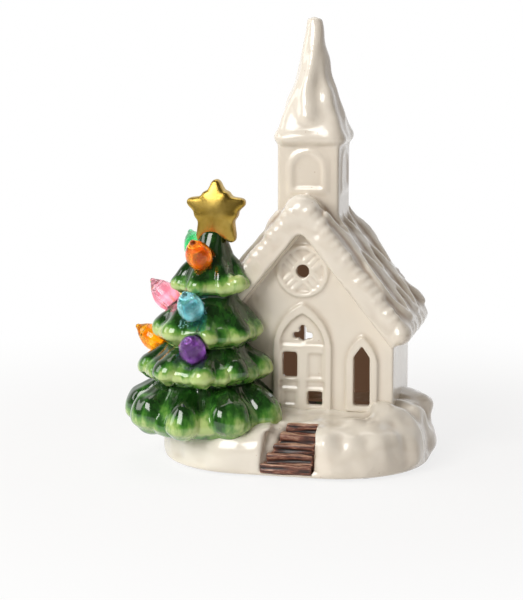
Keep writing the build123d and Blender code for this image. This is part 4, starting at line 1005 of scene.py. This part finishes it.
# Painted light and shade: the pale rim is brighter on bulges and where the skirts face up or sideways, dimmer
# in folds and where they face down
lit = 0.5 + 0.35 * step_up(normals[:, 2], -0.8, -0.1) + 0.22 * bulge
ragged = 0.22 * lumps(points, 12, seed=73)
rim, roll, tuck = np.zeros((3, len(points)))
for number, (bottom, rim_height, neck, neck_radius, tucked, paleness) in enumerate(SKIRTS):
    mine = (z > bottom - SKIRT_LAP) & (z < neck + 0.5)
    if number + 1 < len(SKIRTS):
        _, _, next_neck, next_radius, *_ = SKIRTS[number + 1]
        mine &= (z > next_neck) | (reach > next_radius + SKIRT_ROOM)
    if number:
        mine &= (z < SKIRTS[number - 1][0] - SKIRT_LAP) | (reach < neck_radius + SKIRT_ROOM)
    up_rim = (z - bottom) / rim_height
    pale = 1 - step_up(up_rim + ragged, 0.35, 1.45)
    rim = np.where(mine, pale * lit * paleness, rim)
    swollen = 1.3 * hump(up_rim, 0.6, 0.55) + 1.1 * hump(up_rim, 1.7, 0.6)
    roll = np.where(mine, swollen * step_up(normals[:, 2], -0.7, -0.2), roll)
    at_right = step_up(reach, neck_radius, neck_radius + 10) * step_up(np.cos(bearing), 0.2, 0.9)
    tuck = np.where(mine, tucked * at_right, tuck)
print(len(SKIRTS), "skirts on", len(points), "points")

# %% Lobes, pleats and the nub of the tree
NUB_Z, NUB_OUT = 82.5, (13.2, -9.9)
NUB_WAY, NUB_PUSH = np.array([0.8, -0.6, -0.15]), 1.5
PLEATS, PLEAT_DEPTH = 36, 0.22
SKIRT_DROP = 2.0
nub_at = np.array([TREE_X + TREE_LEAN * NUB_Z + NUB_OUT[0], TREE_Y + NUB_OUT[1], NUB_Z])
nub = np.linalg.norm(points - nub_at, axis=1)
off_nub = step_up(nub, 5.0, 8.0)
pleats = np.sin(bearing * PLEATS + lumps(points, 30, seed=72)) * PLEAT_DEPTH
pleats *= step_up(z, 27, 33) * (1 - step_up(z, 41, 44))
swell = lumps(points, 13, seed=71) * 0.4 + pleats + roll * off_nub
facing_in = np.cos(bearing) * normals[:, 0] + np.sin(bearing) * normals[:, 1] < 0
inside_tree = (reach < 13.5) & (normals[:, 2] < 0.2) & facing_in
points += normals * (swell * ~inside_tree)[:, None]
points += NUB_WAY * (NUB_PUSH * (1 - step_up(nub, 4.4, 6.5)))[:, None]
points[:, 0] -= tuck * off_nub
points[:, 2] -= SKIRT_DROP * step_up(reach, 19, 29) * (1 - step_up(z, 24, 33)) * ~inside_tree
put_points(tree, points)
paint(tree, "rim", np.maximum(rim, 1 - step_up(nub, 4.6, 6.4)))
place_piece("glazed_tree", tree, green_glaze, "green_glaze", "tree")

# %% [markdown]
# ## Star
# A plump gold star. The solid has the outline; a fine skin with many smoothing passes turns its edges into
# the soft pillow of the real one. Its legs are then lengthened, its middle is puffed, and the notches between
# its points are filled a little.

# %% The star's skin
LEG_DROP, PUFF, NOTCH_FILL = 2.6, 0.7, 1.5
POINTS_OF_STAR, FIRST_NOTCH = 5, 0.7 * math.pi
star = skin("gold_star_puffed", merged("gold_star"), voxel=0.42, passes=14)
points, normals = points_of(star)
middle = (points.min(axis=0) + points.max(axis=0)) / 2
points[:, 2] -= LEG_DROP * step_up(middle[2] - points[:, 2], 2.0, 14.0)
from_axis = np.hypot(points[:, 0] - middle[0], points[:, 2] - middle[2])
points += normals * (PUFF * hump(from_axis, 0, 8))[:, None]
bearing = np.arctan2(points[:, 2] - middle[2] + 0.7, points[:, 0] - middle[0])
notch = np.clip(np.cos(POINTS_OF_STAR * (bearing - FIRST_NOTCH)), 0, 1) ** 2 * step_up(from_axis, 1, 7)
outward = np.stack([np.cos(bearing), 0 * bearing, np.sin(bearing)], axis=1)
points += NOTCH_FILL * notch[:, None] * outward
put_points(star, points)
melt(star, np.ones(len(points)), passes=16)
place_piece("gold_star_puffed", star, gold_lustre, "gold_lustre", "gold_star")

# %% [markdown]
# ## Bulbs
# Each bulb is a hollow flame of clear plastic on a peg, with two mould seams and soft facets inside. A lathe
# is the natural way: rings of points along the axis, with radii read from the CAD solid and a ridge at the
# seams, and a second, fluted surface that faces the cavity and carries the core that glows as painted light.

# %% A closed surface from rings
RING_POINTS = 48


def rings_to_mesh(shape, rings, flip):
    """Joins rings of points, and two end points, into a closed surface."""
    start = shape.verts.new(rings[0].mean(axis=0))
    end = shape.verts.new(rings[-1].mean(axis=0))
    rows = [[shape.verts.new(point) for point in ring] for ring in rings]
    pairs = [(k, (k + 1) % RING_POINTS) for k in range(RING_POINTS)]

    def face(*corners):
        shape.faces.new(corners[::-1] if flip else corners)

    for low, high in zip(rows, rows[1:]):
        for k, n in pairs:
            face(low[k], low[n], high[n], high[k])
    for k, n in pairs:
        face(start, rows[0][n], rows[0][k])
        face(end, rows[-1][k], rows[-1][n])


print("rings of", RING_POINTS, "points")

# %% A bulb from its solid
SEAM, FLUTES = 0.16, 4
WALL, LEAST_RADIUS = 1.25, 0.3
BODY_LENGTH, TIP_RADIUS, PEG_RADIUS = 16.5, 0.35, 1.5
CAVITY = (1.6, 11.5)  # over the seat


def flame_bulb(name, axis):
    """A hollow bulb mesh on the axis of its solid, with a painted core."""
    solid = merged(name)
    points = np.array([vertex.co for vertex in solid.verts])
    solid.free()
    along = points @ axis
    middle = points.mean(axis=0)
    middle -= axis * (middle @ axis)
    out = np.linalg.norm(points - middle - along[:, None] * axis, axis=1)
    side = np.cross(axis, (0, 0, 1))
    side /= np.linalg.norm(side)
    other = np.cross(axis, side)
    turns = np.arange(RING_POINTS) * 2 * math.pi / RING_POINTS
    around = np.cos(turns)[:, None] * side + np.sin(turns)[:, None] * other
    flutes = np.cos(FLUTES * turns)
    low, high = along.min(), along.max()
    seat = high - BODY_LENGTH * MM

    def ring(height, radii):
        return middle + axis * height + radii[:, None] * around

    order = np.argsort(along)
    heights, radii = along[order], out[order]
    body = (heights > seat + 0.05 * MM) & (radii > LEAST_RADIUS * MM)
    heights, radii = heights[body], radii[body]
    seam = np.zeros(RING_POINTS)
    seam[[0, RING_POINTS // 2]] = SEAM * MM
    peg = np.full(RING_POINTS, PEG_RADIUS * MM)
    outer = [ring(low + 0.25 * MM, peg * 0.8), ring(low + 0.6 * MM, peg), ring(seat, peg)]
    for level in seat + (high - seat) * np.linspace(0.01, 0.985, 30) ** 0.9:
        radius = np.interp(level, heights, radii)
        outer.append(ring(level, radius + seam * min(1, (high - level) / (3 * MM))))
    outer.append(ring(high - 0.05 * MM, np.full(RING_POINTS, TIP_RADIUS * MM)))
    inner = []
    for level in np.linspace(seat + CAVITY[0] * MM, seat + CAVITY[1] * MM, 16):
        radius = max(np.interp(level, heights, radii) - WALL * MM, LEAST_RADIUS * MM)
        inner.append(ring(level, radius * (1 + 0.1 * flutes)))
    shape = bmesh.new()
    rings_to_mesh(shape, outer, False)
    rings_to_mesh(shape, inner, True)
    mesh = settled(name, shape)
    mesh.shade_smooth()
    # Painted light: the fluted inner surface is painted as a glowing core, strongest in its middle
    heart = hump(np.linspace(0, 1, len(inner)), 0.4, 0.22)
    facets = np.outer(0.15 + heart, 0.6 + 0.4 * flutes).ravel()
    paint(mesh, "core", np.concatenate([np.zeros(len(outer) * RING_POINTS + 2), [0.1, 0.1], facets]))
    return mesh


print("bulb helper ready")

# %% The eight bulbs
for joint in frame["joints"]:
    bulb = joint["child"]
    if bulb.startswith("bulb_"):
        tone = bulb.removeprefix("bulb_")
        mesh = flame_bulb(bulb, np.array(joint["axis"]) / np.linalg.norm(joint["axis"]))
        place_piece(f"flame_{bulb}", mesh, plastics[tone], f"{tone}_plastic", bulb, body=bulb)

# %% [markdown]
# ## Felt, foam and wires
# Four felt pads keep the glaze off the table, a ring of foam tape holds the light unit, and two thin wires
# run to the tree's lamp. They are soft, so the crisp solids are replaced: fine skins with a fuzzy or
# wandering surface for the pads and wires, and rounded edges for the tape, which is too thin for voxels.

# %% Felt pads and wires
pads = skin("felt_discs", merged("felt_pads"), voxel=0.24, passes=4)
points, normals = points_of(pads)
points += normals * (lumps(points, 0.8, seed=91) * 0.05 * step_up(points[:, 2], 0.1, 0.3))[:, None]
points[:, 2] = points[:, 2].clip(0.01)
put_points(pads, points)
place_piece("felt_discs", pads, unit_finishes["felt"], "felt", "felt_pads")

wires = skin("lamp_wires", merged("tree_led_wires"), voxel=0.17, passes=4)
points, _ = points_of(wires)
points[:, 2] += lumps(points, 16, seed=92) * 0.15
put_points(wires, points)
place_piece("lamp_wires", wires, unit_finishes["wire_jacket"], "wire_jacket", "tree_led_wires")

# %% Foam tape
CRISP_ANGLE = 1  # radian
TAPE_ROUND = 0.1
ring = merged("foam_tape")
crisp = [edge for edge in ring.edges if len(edge.link_faces) == 2 and edge.calc_face_angle() > CRISP_ANGLE]
bmesh.ops.bevel(ring, geom=crisp, offset=TAPE_ROUND * MM, segments=3, affect="EDGES", profile=0.5)
tape = settled("foam_ring", ring)
tape.shade_smooth()
place_piece("foam_ring", tape, unit_finishes["white_foam"], "white_foam", "foam_tape")

# %% [markdown]
# ## Light unit
# The other parts under the base are moulded or stamped, so the solids are the right shape as they are. They
# only need their finishes.

# %% Finishes on the solids
DRESS = {
    "cream_plastic": ["battery_tray", "battery_door", "tree_led_socket"],
    "steel": ["door_screw"],
    "nickel_steel": ["positive_contacts", "negative_contacts"],
    "black_plastic": ["switch_body", "switch_knob", "timer_chip"],
    "green_board": ["circuit_board"],
    "led_epoxy": ["church_led", "tree_led"],
    "cell_label": ["battery_1", "battery_2", "battery_3"],
}
for finish_name, dressed_nodes in DRESS.items():
    for name in dressed_nodes:
        for material_slot in nodes[name].material_slots:
            material_slot.material = unit_finishes[finish_name]
print(sum(len(names) for names in DRESS.values()), "solids dressed")

# %% [markdown]
# ## Light and floor
# The photograph is lit by large soft boxes on a white ground: a strong one at the upper left front, weaker
# ones at the left and above, and hardly any light from the right. Area lamps give those broad reflections in
# the glaze, and the room adds a little warm light. The pale floor fades into a white world, so that the
# object keeps its shadow and the ground stays white.

# %% Lamps
# Each lamp: place, width, height, watts and colour
LAMPS = {
    "key": ((-0.42, -0.82, 0.58), 0.55, 0.55, 7.8, (1.0, 0.985, 0.96)),
    "left": ((-0.88, -0.2, 0.42), 0.35, 0.6, 2.0, (1.0, 0.99, 0.97)),
    "fill": ((0.8, -0.5, 0.3), 0.4, 0.6, 0.15, (1.0, 0.95, 0.92)),
    "top": ((-0.1, 0.2, 0.95), 0.6, 0.5, 1.8, (1.0, 0.95, 0.9)),
}
for name, (place, width, height, watts, light_colour) in LAMPS.items():
    lamp = bpy.data.lights.new(name, "AREA")
    lamp.shape = "RECTANGLE"
    lamp.size, lamp.size_y = width, height
    lamp.energy, lamp.color = watts, light_colour
    holder = bpy.data.objects.new(name, lamp)
    holder.location = place
    holder.rotation_euler = (Vector(place) - AIM).to_track_quat("Z", "Y").to_euler()
    scene_objects.link(holder)
print(len(LAMPS), "lamps")


# %% The white room
def rays(mix):
    """Three dabs: whether a ray comes from the camera, through something clear, or off a gloss."""
    path = mix.tree.nodes.new("ShaderNodeLightPath")
    return [Dab(mix.tree, path.outputs[f"Is {kind} Ray"]) for kind in ("Camera", "Transmission", "Glossy")]


ROOM_LIGHT, GLOSS_LOSS = 0.19, 0.12
ROOM_TINT, WHITE = (1.0, 0.88, 0.78), (1, 1, 1)
world = bpy.data.worlds.new("white_room")
bpy.context.scene.world = world
world.use_nodes = True
room = Dab(world.node_tree)
camera_ray, clear_ray, glossy_ray = rays(room)
towards = room.node("ShaderNodeTexCoord", out="Generated")
behind = room.node("ShaderNodeSeparateXYZ", {"Vector": towards}, out="Y").between(-0.05, 0.7)
seen = camera_ray.most(clear_ray).most(glossy_ray * behind)
dim = ROOM_LIGHT - glossy_ray * GLOSS_LOSS
feed(
    world.node_tree.nodes["Background"],
    Strength=dim + seen * (1 - dim),
    Color=tint(seen, ROOM_TINT, WHITE),
)
print(world.name, len(world.node_tree.nodes), "nodes")

# %% The floor
FLOOR_RADIUS = 0.45
FADE_FROM, FADE_TO = 0.1, 0.34
disc = bmesh.new()
bmesh.ops.create_circle(disc, cap_ends=True, segments=96, radius=FLOOR_RADIUS)
floor = bpy.data.objects.new("floor", settled("floor", disc))
scene_objects.link(floor)
pale_floor, mix, shader = new_finish("pale_floor")
feed(shader, Base_Color=(0.9, 0.9, 0.9), Roughness=0.9)
from_middle = mix.node("ShaderNodeVectorMath", {0: own_place(mix)}, out="Value", operation="LENGTH")
white = mix.node("ShaderNodeEmission")
camera_ray, clear_ray, glossy_ray = rays(mix)
seen = camera_ray.most(clear_ray).most(glossy_ray)
fade = (0.8 + from_middle.between(FADE_FROM, FADE_TO) * 0.2) * seen
ground = mix.node("ShaderNodeMixShader", {0: fade, 1: Dab(mix.tree, shader.outputs[0]), 2: white})
output = next(n for n in mix.tree.nodes if n.type == "OUTPUT_MATERIAL")
feed(output, Surface=ground)
floor.data.materials.append(pale_floor)
print("floor ready")
